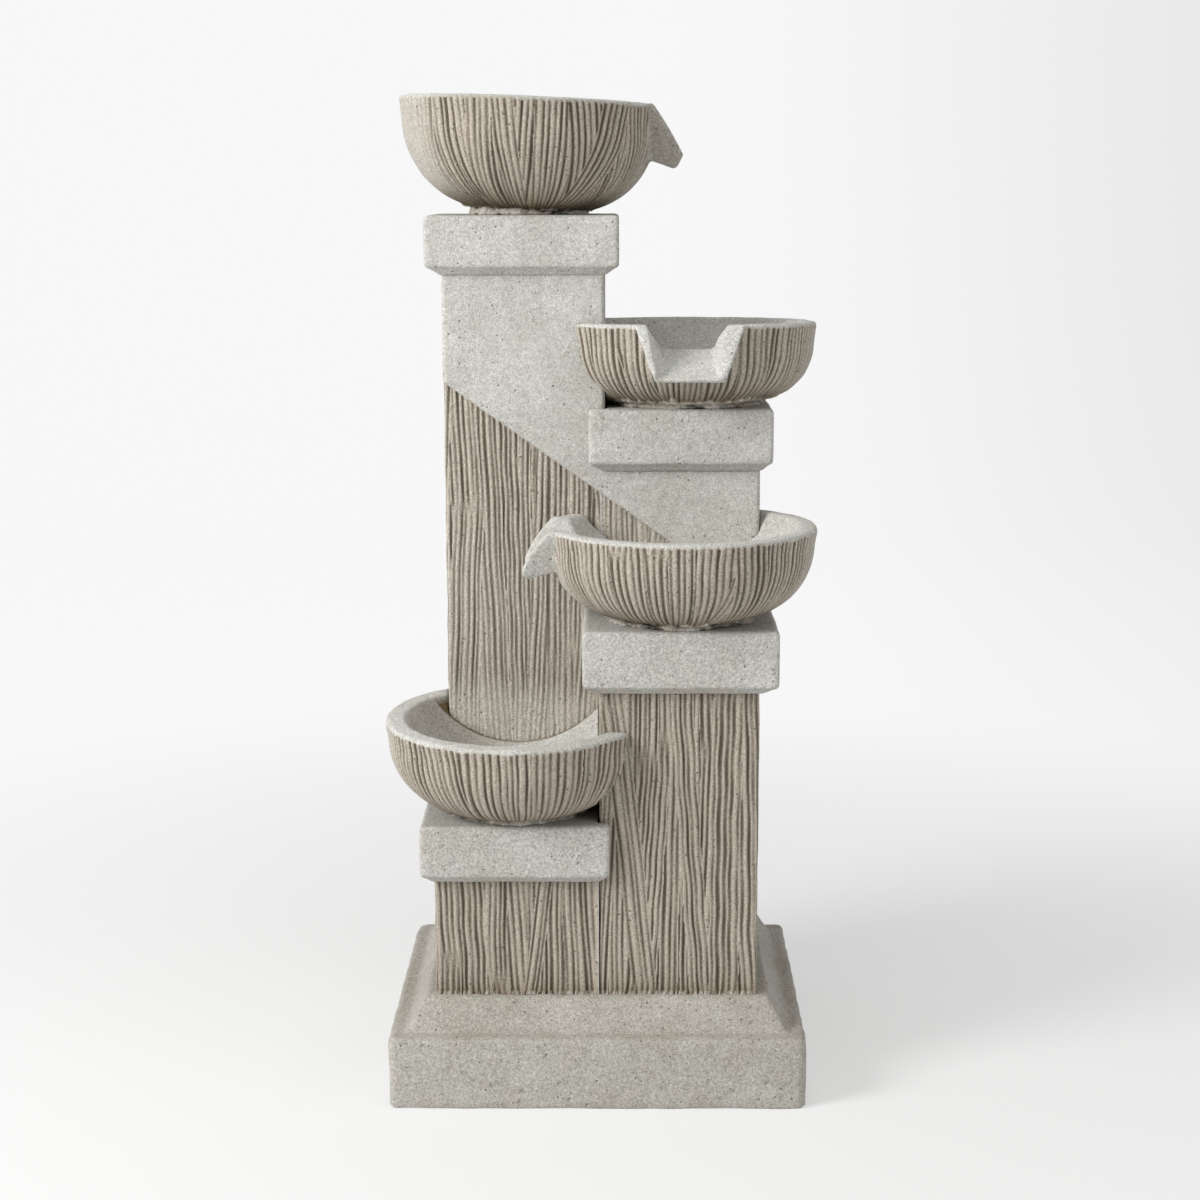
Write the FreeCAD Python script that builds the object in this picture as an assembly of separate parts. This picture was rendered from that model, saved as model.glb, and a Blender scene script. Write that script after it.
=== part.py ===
import FreeCAD, Part
import math
import os
from dataclasses import dataclass
from typing import Optional

Vector = FreeCAD.Vector
UP = Vector(0, 0, 1)
RIGHT = Vector(1, 0, 0)
BACK = Vector(0, 1, 0)

# Driving dimensions, in millimetres. X is to the right, Y to the back, Z up.
# The origin is the middle of the plinth's underside.

# Plinth: a hollow block with a flat ledge and a sloped top, which holds the water
plinth_width = 420.0
plinth_depth = 356.0
plinth_block_height = 74.0
plinth_ledge = 17.5
plinth_slope_run = 19.0
plinth_slope_height = 32.0
plinth_wall = 16.0
plinth_floor = 14.0
plinth_throat_lip = 4.0
plinth_corner_radius = 10.0
plinth_edge_radius = 4.0

# Columns: two pairs of hollow square shafts, one pair behind the other
column_depth = 137.0
left_column_width = 166.0
right_column_width = 160.0
front_pair_shift = -1.0
rear_pair_shift = 5.0
column_wall = 14.0
column_corner_radius = 6.0
top_column_height = 725.0
second_column_height = 524.5
third_column_height = 320.0
lowest_column_height = 126.5

# The smooth upper face of the rear pair stands proud of the combed face below a slanting edge
panel_rise = 2.0
panel_edge_height = 610.0
panel_edge_angle = 35.5
panel_clear_of_cap = 6.0

# Cap blocks: overhanging caps with a coved underside, socketed over the column heads
top_cap_height = 53.0
second_cap_height = 57.5
third_cap_height = 58.0
lowest_cap_height = 54.0
cap_front_overhang = 15.5
cap_back_overhang = 15.5
top_cap_outer_overhang = 17.0
top_cap_inner_overhang = 15.0
second_cap_outer_overhang = 13.0
second_cap_inner_overhang = 17.0
third_cap_outer_overhang = 18.0
third_cap_inner_overhang = 16.0
lowest_cap_outer_overhang = 13.0
lowest_cap_inner_overhang = 11.0
cap_edge_radius = 4.0
cap_cove_height = 7.0
cap_cove_inset = 4.0
cap_cove_land = 2.0
cap_socket_depth = 8.0
cap_slab = 18.0

# Bowls: round, with a short upright rim band over a quarter-round side, and dished inside
top_bowl_radius = 134.0
second_bowl_radius = 136.5
third_bowl_radius = 136.5
lowest_bowl_radius = 133.0
top_bowl_height = 112.0
second_bowl_height = 81.5
third_bowl_height = 91.0
lowest_bowl_height = 92.0
top_bowl_band = 24.0
second_bowl_band = 24.5
third_bowl_band = 18.5
lowest_bowl_band = 18.5
bowl_wall = 18.0
lowest_bowl_wall = 22.0
bowl_floor = 24.0
bowl_rim_lean = 2.5
bowl_rim_radius = 4.0
top_bowl_shift_x = 5.1
second_bowl_shift_x = 5.0
third_bowl_shift_x = 3.0
lowest_bowl_shift_x = -2.0
front_bowl_shift_y = -3.0

# Dip of the bowls' rims, in degrees, and the way each dips: right, back and front
top_bowl_dip = 2.35
top_bowl_dip_turn = 0.0
second_bowl_dip = 1.5
second_bowl_dip_turn = 90.0
lowest_bowl_dip = 2.0
lowest_bowl_dip_turn = -90.0

# Spouts: a flaring trough through the rim between side plates that curve down to the lip and draw in
top_spout_reach = 25.0
top_spout_drop = 50.0
top_spout_lip = 14.0
top_spout_sill = 57.0
top_spout_bulge = 1.0
second_spout_reach = 20.5
second_spout_drop = 50.0
second_spout_lip = 7.0
second_spout_sill = 54.0
second_spout_bulge = 2.0
third_spout_reach = 23.5
third_spout_drop = 43.0
third_spout_lip = 9.0
third_spout_sill = 47.0
third_spout_bulge = 3.5
spout_lip_slant = 0.55
spout_root = 6.5
spout_weir_depth = 36.0
spout_rim_half_width = 55.5
spout_underside_rise = 0.3
spout_lip_half_width = 34.5
trough_weir_half_width = 26.5
trough_lip_half_width = 29.0
trough_top_half_width = 40.0

# Mortar beds under the bowls
mortar_thickness = 4.0
mortar_height = 14.0
mortar_batter = 4.0
top_mortar_spread = 18.0
second_mortar_spread = 5.0
mortar_spread = 15.0
mortar_bore_radius = 30.0

# Joints between castings
joint_gap = 0.4
seat_gap = 0.2

# Access door in the tall column's back
door_width = 96.0
door_height = 150.0
door_sill = 34.0
door_lap = 8.0
door_plate = 6.0
door_plug = 6.0
door_clearance = 0.6
door_finger_radius = 12.0
door_finger_drop = 28.0

# Cable grommet in the tall column's back, under the door
grommet_bore_radius = 4.0
grommet_sleeve_radius = 8.0
grommet_flange_radius = 11.0
grommet_flange = 3.0
grommet_height = 15.0
grommet_clearance = 0.1

# Pump, standing on the plinth's floor under the tall column, its intake facing the back
pump_offset_x = -40.1
pump_width = 50.0
pump_height = 46.0
pump_motor_length = 46.0
pump_intake_length = 24.0
pump_shell = 2.5
pump_corner_radius = 4.0
pump_well_depth = 32.0
volute_radius = 19.0
volute_length = 13.0
volute_wall = 2.5
volute_eye_radius = 8.0
volute_bush_radius = 3.5
volute_arm = 2.4
nozzle_radius = 9.0
nozzle_bore_radius = 6.5
nozzle_height = 20.0
rotor_radius = 9.0
rotor_length = 26.0
rotor_clearance = 0.7
impeller_radius = 15.0
impeller_shroud = 1.5
impeller_blade_height = 5.0
impeller_blade = 1.6
impeller_hub_radius = 3.5
impeller_blade_count = 6
impeller_play = 0.3
shaft_radius = 1.5
shaft_seat = 6.0
running_clearance = 0.08
dial_radius = 9.0
dial_thickness = 4.0
dial_stem_radius = 3.0
dial_grip = 3.0
dial_height = 12.0
intake_slot = 2.4
intake_slot_pitch = 5.0
intake_slot_count = 8
intake_slot_height = 15.0
foot_radius = 8.0
foot_waist_radius = 4.0
foot_height = 8.0
foot_inset = 10.0

# Riser hose and its clamps
hose_wall = 3.0
hose_bend_radius = 220.0
hose_bend_height = 300.0
hose_overlap = 17.0
hose_clearance = 0.1
clamp_width = 8.0
clamp_band = 1.2
clamp_ear = 6.0

# Top bowl's inlet: flange, gasket, stem, nut and hose barb
inlet_bore_radius = 7.0
inlet_stem_radius = 12.0
inlet_flange_radius = 21.0
inlet_flange = 4.0
inlet_barb_radius = 9.0
inlet_barb_length = 26.0
inlet_hole_clearance = 0.5
gasket_thickness = 2.5
gasket_radius = 20.0
nut_width = 34.0
nut_thickness = 8.0
nut_clearance = 6.0
fitting_spot_margin = 1.5

# Lowest bowl's drain: flanged bush with a lift-out strainer
drain_bore_radius = 12.5
drain_tube_radius = 15.0
drain_flange_radius = 24.0
drain_flange = 4.0
drain_seat_radius = 19.0
drain_seat_depth = 2.0
drain_tail = 15.0
drain_hole_clearance = 0.5
strainer_slot = 3.0
strainer_slot_count = 8
strainer_slot_inner = 6.5
strainer_slot_outer = 11.0
strainer_spigot = 6.0
strainer_spigot_wall = 1.5
strainer_knob_radius = 5.0
strainer_knob_neck_radius = 3.5
strainer_knob_height = 11.0
strainer_clearance = 0.4

# Over-length of cutting tools beyond the faces that they pass through
past = 5.0


@dataclass(frozen=True)
class Footprint:
    """A rectangle on plan: the outline of a column or a cap block."""

    left: float
    right: float
    front: float
    back: float

    def grown(self, margin: float) -> "Footprint":
        """The same rectangle with every side moved out by margin."""
        return Footprint(self.left - margin, self.right + margin, self.front - margin, self.back + margin)

    @property
    def middle(self) -> Vector:
        """The rectangle's middle, at height zero."""
        return Vector((self.left + self.right) / 2, (self.front + self.back) / 2, 0)


@dataclass(frozen=True)
class Spout:
    """A spout: the way it points on plan, in degrees from X, and the sizes of its plates and lip."""

    turn: float
    reach: float
    drop: float
    lip: float
    sill: float
    bulge: float


@dataclass(frozen=True)
class Tier:
    """One column with its cap block, mortar bed and bowl."""

    name: str
    column: str
    column_height: float
    cap_height: float
    cap_left: float
    cap_right: float
    radius: float
    bowl_height: float
    band: float
    wall: float
    shift_x: float
    shift_y: float
    bed_spread: float
    dip: float
    dip_turn: float
    spout: Optional[Spout]

    @property
    def plan(self) -> Footprint:
        """The column's outline."""
        return column_plans[self.column]

    @property
    def rear(self) -> bool:
        """Whether the column belongs to the rear pair."""
        return self.plan.back > 0

    @property
    def head_plan(self) -> Footprint:
        """The outline of the column's head, with the smooth panel's rise on a rear column."""
        plan = self.plan
        rise = panel_rise if self.rear else 0.0
        return Footprint(plan.left, plan.right, plan.front - rise, plan.back)

    @property
    def cap_bottom(self) -> float:
        """Height of the cap block's flat underside."""
        return plinth_top + self.column_height

    @property
    def cap_top(self) -> float:
        """Height of the cap block's top face."""
        return self.cap_bottom + self.cap_height

    @property
    def column_top(self) -> float:
        """Height of the column's head, inside the cap block's socket."""
        return self.cap_bottom + cap_socket_depth

    @property
    def bowl_bottom(self) -> float:
        """Height of the bowl's flat foot."""
        return self.cap_top + mortar_thickness

    @property
    def rim(self) -> float:
        """Height of the bowl's rim."""
        return self.bowl_bottom + self.bowl_height

    @property
    def bowl_axis(self) -> Vector:
        """The point where the bowl's axis meets the ground."""
        return self.plan.middle + Vector(self.shift_x, self.shift_y, 0)

    @property
    def knuckle(self) -> float:
        """Radius of the bowl's quarter-round side."""
        return self.bowl_height - self.band

    @property
    def foot(self) -> float:
        """Radius of the bowl's flat foot."""
        return self.radius - bowl_rim_lean - self.knuckle

    @property
    def cap_plan(self) -> Footprint:
        """The cap block's outline, which stops at the wall behind a front column."""
        back = self.plan.back + cap_back_overhang if self.rear else self.plan.back
        return Footprint(
            self.plan.left - self.cap_left,
            self.plan.right + self.cap_right,
            self.plan.front - cap_front_overhang,
            back,
        )


# Places worked out from the driving dimensions

plinth_top = plinth_block_height + plinth_slope_height
pair_width = left_column_width + right_column_width
front_left_edge = front_pair_shift - pair_width / 2
rear_left_edge = rear_pair_shift - pair_width / 2
front_split = front_left_edge + left_column_width
rear_split = rear_left_edge + left_column_width
half_joint = joint_gap / 2

column_plans = {
    "tall_column": Footprint(rear_left_edge, rear_split - half_joint, half_joint, column_depth),
    "rear_right_column": Footprint(
        rear_split + half_joint, rear_left_edge + pair_width, half_joint, column_depth
    ),
    "front_right_column": Footprint(
        front_split + half_joint, front_left_edge + pair_width, -column_depth, -half_joint
    ),
    "front_left_column": Footprint(
        front_left_edge, front_split - half_joint, -column_depth, -half_joint
    ),
}

tiers = [
    Tier(
        "top", "tall_column", top_column_height, top_cap_height, top_cap_outer_overhang,
        top_cap_inner_overhang, top_bowl_radius, top_bowl_height, top_bowl_band, bowl_wall,
        top_bowl_shift_x, 0.0, top_mortar_spread, top_bowl_dip, top_bowl_dip_turn,
        Spout(0.0, top_spout_reach, top_spout_drop, top_spout_lip, top_spout_sill, top_spout_bulge),
    ),
    Tier(
        "second", "rear_right_column", second_column_height, second_cap_height,
        second_cap_inner_overhang, second_cap_outer_overhang, second_bowl_radius, second_bowl_height,
        second_bowl_band, bowl_wall, second_bowl_shift_x, 0.0, second_mortar_spread,
        second_bowl_dip, second_bowl_dip_turn,
        Spout(
            -90.0, second_spout_reach, second_spout_drop, second_spout_lip, second_spout_sill,
            second_spout_bulge,
        ),
    ),
    Tier(
        "third", "front_right_column", third_column_height, third_cap_height,
        third_cap_inner_overhang, third_cap_outer_overhang, third_bowl_radius, third_bowl_height,
        third_bowl_band, bowl_wall, third_bowl_shift_x, front_bowl_shift_y, mortar_spread, 0.0, 0.0,
        Spout(
            180.0, third_spout_reach, third_spout_drop, third_spout_lip, third_spout_sill,
            third_spout_bulge,
        ),
    ),
    Tier(
        "lowest", "front_left_column", lowest_column_height, lowest_cap_height,
        lowest_cap_outer_overhang, lowest_cap_inner_overhang, lowest_bowl_radius, lowest_bowl_height,
        lowest_bowl_band, lowest_bowl_wall, lowest_bowl_shift_x, front_bowl_shift_y, mortar_spread,
        lowest_bowl_dip, lowest_bowl_dip_turn, None,
    ),
]
top_tier = tiers[0]
third_tier = tiers[2]
lowest_tier = tiers[3]

hose_bore_radius = nozzle_radius + hose_clearance
hose_radius = hose_bore_radius + hose_wall
slab_hole_radius = nut_width / math.sqrt(3) + nut_clearance
pump_axis_x = top_tier.bowl_axis.x + pump_offset_x
pump_axis_y = top_tier.bowl_axis.y
pump_bottom = plinth_floor + foot_height
pump_axis_z = pump_bottom + pump_height / 2
pump_face = pump_axis_y - volute_length / 2
pump_top = pump_bottom + pump_height
nozzle_top = pump_top + nozzle_height
door_left = top_tier.plan.middle.x - door_width / 2
door_bottom = plinth_top + door_sill


# Small helpers

def box(left, right, front, back, bottom, top):
    """A box between six planes."""
    return Part.makeBox(right - left, back - front, top - bottom, Vector(left, front, bottom))


def plan_box(plan, bottom, top):
    """A box that stands on a footprint."""
    return box(plan.left, plan.right, plan.front, plan.back, bottom, top)


def post(radius, bottom, top, axis=Vector(0, 0, 0)):
    """An upright cylinder on an axis."""
    return Part.makeCylinder(radius, top - bottom, Vector(axis.x, axis.y, bottom), UP)


def rod(radius, front, back, x, z):
    """A cylinder that lies along Y."""
    return Part.makeCylinder(radius, back - front, Vector(x, front, z), BACK)


def vertical_edges(solid):
    """The upright straight edges of a solid."""
    found = []
    for edge in solid.Edges:
        ends = [vertex.Point for vertex in edge.Vertexes]
        if len(ends) == 2 and abs(ends[0].x - ends[1].x) + abs(ends[0].y - ends[1].y) < 1e-6:
            found.append(edge)
    return found


def edges_at_height(solid, height):
    """The edges of a solid that lie level at one height."""
    return [
        edge for edge in solid.Edges
        if abs(edge.BoundBox.ZMin - height) < 1e-6 and abs(edge.BoundBox.ZMax - height) < 1e-6
    ]


def rectangle(half_x, half_y, height):
    """A level rectangle round the Z axis."""
    corners = [(-half_x, -half_y), (half_x, -half_y), (half_x, half_y), (-half_x, half_y)]
    points = [Vector(x, y, height) for x, y in corners]
    return Part.makePolygon(points + points[:1])


def plan_rectangle(plan, height):
    """A level rectangle on a footprint."""
    corners = [
        (plan.left, plan.front), (plan.right, plan.front), (plan.right, plan.back), (plan.left, plan.back)
    ]
    points = [Vector(x, y, height) for x, y in corners]
    return Part.makePolygon(points + points[:1])


def turned(edges):
    """The solid that a closed outline in the XZ plane makes when it is turned about Z."""
    return Part.Face(Part.Wire(edges)).revolve(Vector(0, 0, 0), UP, 360)


def line(start, end):
    """A straight edge in the XZ plane, from (radius, height) pairs."""
    return Part.makeLine(Vector(start[0], 0, start[1]), Vector(end[0], 0, end[1]))


def arc(start, middle, end):
    """A round edge in the XZ plane through three (radius, height) pairs."""
    points = [Vector(point[0], 0, point[1]) for point in (start, middle, end)]
    return Part.Arc(*points).toShape()


def outline(points):
    """The straight edges that join (radius, height) pairs in a closed outline."""
    return [line(start, end) for start, end in zip(points, points[1:] + points[:1])]


def on_quarter(centre, radius):
    """The middle of the quarter circle below and right of a centre."""
    return (centre[0] + radius * math.sqrt(0.5), centre[1] - radius * math.sqrt(0.5))


# Castings

def plinth():
    """The stepped plinth with its reservoir and the two openings in its roof."""
    half_width = plinth_width / 2
    half_depth = plinth_depth / 2
    block = box(-half_width, half_width, -half_depth, half_depth, 0, plinth_block_height)
    block = block.makeFillet(plinth_corner_radius, vertical_edges(block))
    block = block.makeFillet(plinth_edge_radius, edges_at_height(block, plinth_block_height))
    low_x = half_width - plinth_ledge
    low_y = half_depth - plinth_ledge
    high_x = low_x - plinth_slope_run
    high_y = low_y - plinth_slope_run
    sunk = plinth_block_height - plinth_wall / 2
    foot = rectangle(low_x, low_y, plinth_block_height)
    head = rectangle(high_x, high_y, plinth_top)
    slope = Part.makeLoft([foot, head], True, True)
    slope = slope.makeFillet(plinth_edge_radius, edges_at_height(slope, plinth_top))
    base = box(-low_x, low_x, -low_y, low_y, sunk, plinth_block_height)
    body = block.fuse([base, slope]).removeSplitter()
    ceiling = plinth_block_height - plinth_wall
    low_foot = rectangle(low_x - plinth_wall, low_y - plinth_wall, ceiling)
    low_head = rectangle(high_x - plinth_wall, high_y - plinth_wall, plinth_top - plinth_wall)
    hollow = box(
        plinth_wall - half_width, half_width - plinth_wall,
        plinth_wall - half_depth, half_depth - plinth_wall,
        plinth_floor, ceiling,
    ).fuse(Part.makeLoft([low_foot, low_head], True, True))
    body = body.cut(hollow)
    for name in ("tall_column", "front_left_column"):
        throat = column_plans[name].grown(-column_wall - plinth_throat_lip)
        body = body.cut(plan_box(throat, plinth_top - plinth_wall - past, plinth_top + past))
    return body


def panel_edge_at(x):
    """Height of the smooth panel's slanting lower edge at a distance across the rear pair."""
    slope = math.tan(math.radians(panel_edge_angle))
    return plinth_top + panel_edge_height - slope * (x - rear_left_edge)


def column_block(tier, margin=0.0):
    """A column's outside, solid, with every face moved out by margin."""
    plan = tier.plan.grown(margin)
    bottom = plinth_top - margin
    top = tier.column_top + margin
    if not tier.rear:
        return plan_box(plan, bottom, top)
    block = box(plan.left, plan.right, plan.front - panel_rise, plan.back, bottom, top)
    drop = margin / math.cos(math.radians(panel_edge_angle))
    left = plan.left - past
    right = plan.right + past
    corners = [
        (left, bottom - past),
        (right, bottom - past),
        (right, panel_edge_at(right) - drop),
        (left, panel_edge_at(left) - drop),
    ]
    below = Part.Face(Part.Wire(outline(corners)))
    below.translate(Vector(0, plan.front - panel_rise - past, 0))
    block = block.cut(below.extrude(BACK * (panel_rise + past)))
    hidden = third_tier.cap_top + panel_clear_of_cap - margin
    return block.cut(box(left, right, plan.front - panel_rise - past, plan.front, bottom - past, hidden))


def column(tier):
    """A hollow column, rounded at the corners that stand free, open at both ends."""
    plan = tier.plan
    block = column_block(tier)
    free_side = plan.left if "left" in tier.column or tier is top_tier else plan.right
    corners = [edge for edge in vertical_edges(block) if abs(edge.Vertexes[0].X - free_side) < 1e-6]
    back_corners = [edge for edge in corners if abs(edge.Vertexes[0].Y - plan.back) < 1e-6]
    front_corners = [edge for edge in corners if edge not in back_corners]
    rounded = front_corners if not tier.rear else back_corners
    block = block.makeFillet(column_corner_radius, rounded)
    return block.cut(plan_box(plan.grown(-column_wall), plinth_top - past, tier.column_top + past))


def tall_column():
    """The tall column with its rebated door opening and the grommet's hole."""
    plan = top_tier.plan
    right = door_left + door_width
    top = door_bottom + door_height
    opening = box(door_left, right, plan.back - column_wall - past, plan.back + past, door_bottom, top)
    rebate = box(
        door_left - door_lap, right + door_lap, plan.back - door_plate, plan.back + past,
        door_bottom - door_lap, top + door_lap,
    )
    hole = rod(
        grommet_sleeve_radius + grommet_clearance, plan.back - column_wall - past, plan.back + past,
        plan.middle.x, plinth_top + grommet_height,
    )
    return column(top_tier).cut(opening.fuse(rebate)).cut(hole)


def taller_neighbours(tier):
    """The outsides of the other columns that rise past this one, with the joint gap added."""
    return [column_block(other, joint_gap) for other in tiers if other.column_height > tier.column_height]


def cap_block(tier):
    """An overhanging cap with a coved underside, hollowed over the column's head."""
    plan = tier.cap_plan
    block = plan_box(plan, tier.cap_bottom, tier.cap_top)
    block = block.makeFillet(cap_edge_radius, block.Edges)
    cove = Part.makeLoft(
        [
            plan_rectangle(plan.grown(-cap_cove_inset), tier.cap_bottom),
            plan_rectangle(tier.head_plan.grown(cap_cove_land), tier.cap_bottom - cap_cove_height),
        ],
        True, True,
    )
    if not tier.rear:
        wall = plan_box(plan.grown(past), tier.cap_bottom - cap_cove_height - past, tier.cap_bottom)
        wall.translate(Vector(0, plan.back - plan.front + past, 0))
        cove = cove.cut(wall)
    block = block.fuse(cove)
    socket = plan_box(
        tier.head_plan.grown(seat_gap), tier.cap_bottom - cap_cove_height - past, tier.column_top
    )
    pocket = plan_box(tier.plan.grown(-column_wall), tier.cap_bottom, tier.cap_top - cap_slab)
    block = block.cut(socket).cut(pocket)
    for neighbour in taller_neighbours(tier):
        block = block.cut(neighbour)
    if tier is top_tier:
        block = block.cut(post(slab_hole_radius, tier.cap_bottom, tier.cap_top + past, tier.bowl_axis))
    if tier is lowest_tier:
        radius = drain_tube_radius + drain_hole_clearance
        block = block.cut(post(radius, tier.cap_bottom, tier.cap_top + past, tier.bowl_axis))
    return block


def bowl_outside(tier, growth=0.0):
    """The bowl's outer form, solid, foot at height zero, with its surface moved out by growth."""
    centre = (tier.foot, tier.knuckle)
    side = tier.knuckle + growth
    rim_radius = tier.radius + growth
    height = tier.bowl_height
    rounding = bowl_rim_radius
    shoulder = (rim_radius - rounding, height - rounding)
    bend = rounding * math.sqrt(0.5)
    foot_start = (tier.foot, -growth)
    side_end = (tier.foot + side, tier.knuckle)
    rim_start = (rim_radius, height - rounding)
    rim_end = (rim_radius - rounding, height)
    return turned([
        line((0, -growth), foot_start),
        arc(foot_start, on_quarter(centre, side), side_end),
        line(side_end, rim_start),
        arc(rim_start, (shoulder[0] + bend, shoulder[1] + bend), rim_end),
        line(rim_end, (0, height)),
        line((0, height), (0, -growth)),
    ])


def bowl_inside(tier):
    """The bowl's hollow: a round dish that opens out over the rounded rim."""
    height = tier.bowl_height
    rounding = bowl_rim_radius
    inner = tier.radius - tier.wall
    bend = rounding * (1 - math.sqrt(0.5))
    depth = height - rounding - bowl_floor
    dish = (inner ** 2 + depth ** 2) / (2 * depth)
    half_turn = math.asin(inner / dish) / 2
    halfway = (dish * math.sin(half_turn), bowl_floor + dish * (1 - math.cos(half_turn)))
    rim_start = (inner, height - rounding)
    rim_end = (inner + rounding, height)
    return turned([
        arc((0, bowl_floor), halfway, rim_start),
        arc(rim_start, (inner + bend, height - bend), rim_end),
        line(rim_end, (inner + rounding, height + past)),
        line((inner + rounding, height + past), (0, height + past)),
        line((0, height + past), (0, bowl_floor)),
    ])


def spout_block(tier):
    """The spout's outer form along +X: plates that draw in and curve down from the rim to a raked lip."""
    spout = tier.spout
    rim = tier.bowl_height
    start = tier.radius - spout_root
    tip = tier.radius + spout.reach
    inside = tier.radius - 2 * tier.wall
    low = rim - spout.drop - spout.lip
    lip_end = tip - spout_lip_slant * spout.lip
    underside = low + spout_underside_rise * (lip_end - inside)
    chord_x = (start + tip) / 2
    chord_z = rim - spout.drop / 2
    length = math.hypot(tip - start, spout.drop)
    bulge_x = chord_x + spout.bulge * spout.drop / length
    bulge_z = chord_z + spout.bulge * (tip - start) / length
    side = Part.Face(Part.Wire([
        line((inside, rim), (start, rim)),
        arc((start, rim), (bulge_x, bulge_z), (tip, rim - spout.drop)),
        line((tip, rim - spout.drop), (lip_end, low)),
        line((lip_end, low), (inside, underside)),
        line((inside, underside), (inside, rim)),
    ]))
    side.translate(Vector(0, -spout_rim_half_width - past, 0))
    plates = side.extrude(BACK * 2 * (spout_rim_half_width + past))
    corners = [
        (-spout_lip_half_width, low), (spout_lip_half_width, low),
        (spout_rim_half_width, rim), (-spout_rim_half_width, rim),
    ]
    points = [Vector(inside - past, y, z) for y, z in corners]
    across = Part.Face(Part.makePolygon(points + points[:1]))
    return plates.common(across.extrude(RIGHT * (tip - inside + 2 * past)))


def trough_section(tier, distance):
    """The trough's flaring outline at a distance from the bowl's axis."""
    rim = tier.bowl_height
    weir = tier.radius - tier.wall
    run = tier.spout.reach + tier.wall
    share = (distance - weir) / run
    depth = spout_weir_depth + share * (tier.spout.sill - spout_weir_depth)
    floor_half = trough_weir_half_width + share * (trough_lip_half_width - trough_weir_half_width)
    top_half = trough_top_half_width + past * (trough_top_half_width - floor_half) / depth
    corners = [
        (-floor_half, rim - depth), (floor_half, rim - depth), (top_half, rim + past), (-top_half, rim + past)
    ]
    points = [Vector(distance, y, z) for y, z in corners]
    return Part.makePolygon(points + points[:1])


def dipped(solid, tier):
    """A bowl's solid with its level planes dipped towards its low side, its axis kept upright."""
    if tier.dip == 0:
        return solid
    turn = math.radians(tier.dip_turn)
    slope = math.tan(math.radians(tier.dip))
    shear = FreeCAD.Matrix()
    shear.A31 = -slope * math.cos(turn)
    shear.A32 = -slope * math.sin(turn)
    return solid.transformGeometry(shear)


def fitting_hole(hole_radius, flange_radius, nut_radius):
    """The hole for a fitting in a bowl's floor, with flat seats above and below it."""
    seat = post(flange_radius + fitting_spot_margin, bowl_floor, bowl_floor + past)
    relief = post(nut_radius + fitting_spot_margin, -past, 0)
    return post(hole_radius, -past, bowl_floor + past).fuse([seat, relief])


def bowl(tier):
    """A bowl with its spout, fitted round the taller columns and bored for its fitting."""
    body = bowl_outside(tier)
    hollow = bowl_inside(tier)
    if tier.spout:
        inner = trough_section(tier, tier.radius - 3 * tier.wall)
        outer = trough_section(tier, tier.radius + 2 * tier.spout.reach)
        hollow = hollow.fuse(Part.makeLoft([inner, outer], True, True))
        body = body.fuse(spout_block(tier))
        for solid in (body, hollow):
            solid.rotate(Vector(0, 0, 0), UP, tier.spout.turn)
    body = dipped(body, tier).cut(dipped(hollow, tier))
    if tier is top_tier:
        nut_reach = nut_width / math.sqrt(3)
        stem = inlet_stem_radius + inlet_hole_clearance
        body = body.cut(fitting_hole(stem, inlet_flange_radius, nut_reach))
    if tier is lowest_tier:
        tube = drain_tube_radius + drain_hole_clearance
        body = body.cut(fitting_hole(tube, drain_flange_radius, drain_tube_radius))
    body.translate(tier.bowl_axis + UP * tier.bowl_bottom)
    for neighbour in taller_neighbours(tier):
        body = body.cut(neighbour)
    return body


def mortar_bed(tier):
    """The bead of mortar that a bowl is bedded in, hollow in the middle."""
    spread = tier.foot + tier.bed_spread
    bead = Part.makeCone(spread, spread - mortar_batter, mortar_height)
    shell = dipped(bowl_outside(tier, seat_gap), tier)
    shell.translate(UP * mortar_thickness)
    bead = bead.cut(shell).cut(post(mortar_bore_radius, -past, mortar_height + past))
    bead.translate(tier.bowl_axis + UP * tier.cap_top)
    for neighbour in taller_neighbours(tier):
        bead = bead.cut(neighbour)
    return bead


# Back of the tall column

def access_door():
    """The lift-out door: an outer plate in the rebate, a plug in the opening and a finger hole."""
    back = top_tier.plan.back
    seat = back - door_plate + seat_gap
    right = door_left + door_width
    top = door_bottom + door_height
    lap = door_lap - door_clearance
    plate = box(door_left - lap, right + lap, seat, back, door_bottom - lap, top + lap)
    plate = plate.makeFillet(door_clearance, edges_facing_back(plate, back))
    plug = box(
        door_left + door_clearance, right - door_clearance, seat - door_plug, seat,
        door_bottom + door_clearance, top - door_clearance,
    )
    middle = top_tier.plan.middle.x
    hole = rod(door_finger_radius, seat - door_plug - past, back + past, middle, top - door_finger_drop)
    return plate.fuse(plug).cut(hole)


def edges_facing_back(solid, back):
    """The edges of a solid that lie in its back plane."""
    return [
        edge for edge in solid.Edges
        if abs(edge.BoundBox.YMin - back) < 1e-6 and abs(edge.BoundBox.YMax - back) < 1e-6
    ]


def cable_grommet():
    """The rubber bush for the pump's lead: a sleeve between two flanges."""
    back = top_tier.plan.back
    inner = back - column_wall
    x = top_tier.plan.middle.x
    z = plinth_top + grommet_height
    sleeve = rod(grommet_sleeve_radius, inner - grommet_flange, back + grommet_flange, x, z)
    outer_flange = rod(grommet_flange_radius, back, back + grommet_flange, x, z)
    inner_flange = rod(grommet_flange_radius, inner - grommet_flange, inner, x, z)
    bore = rod(grommet_bore_radius, inner - grommet_flange - past, back + grommet_flange + past, x, z)
    return sleeve.fuse([outer_flange, inner_flange]).cut(bore)


# Pump

def pump_box(front, back, inset=0.0):
    """A box across the pump's width and height, with its sides moved in by inset."""
    half = pump_width / 2 - inset
    return box(
        pump_axis_x - half, pump_axis_x + half, front, back, pump_bottom + inset, pump_top - inset
    )


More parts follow.
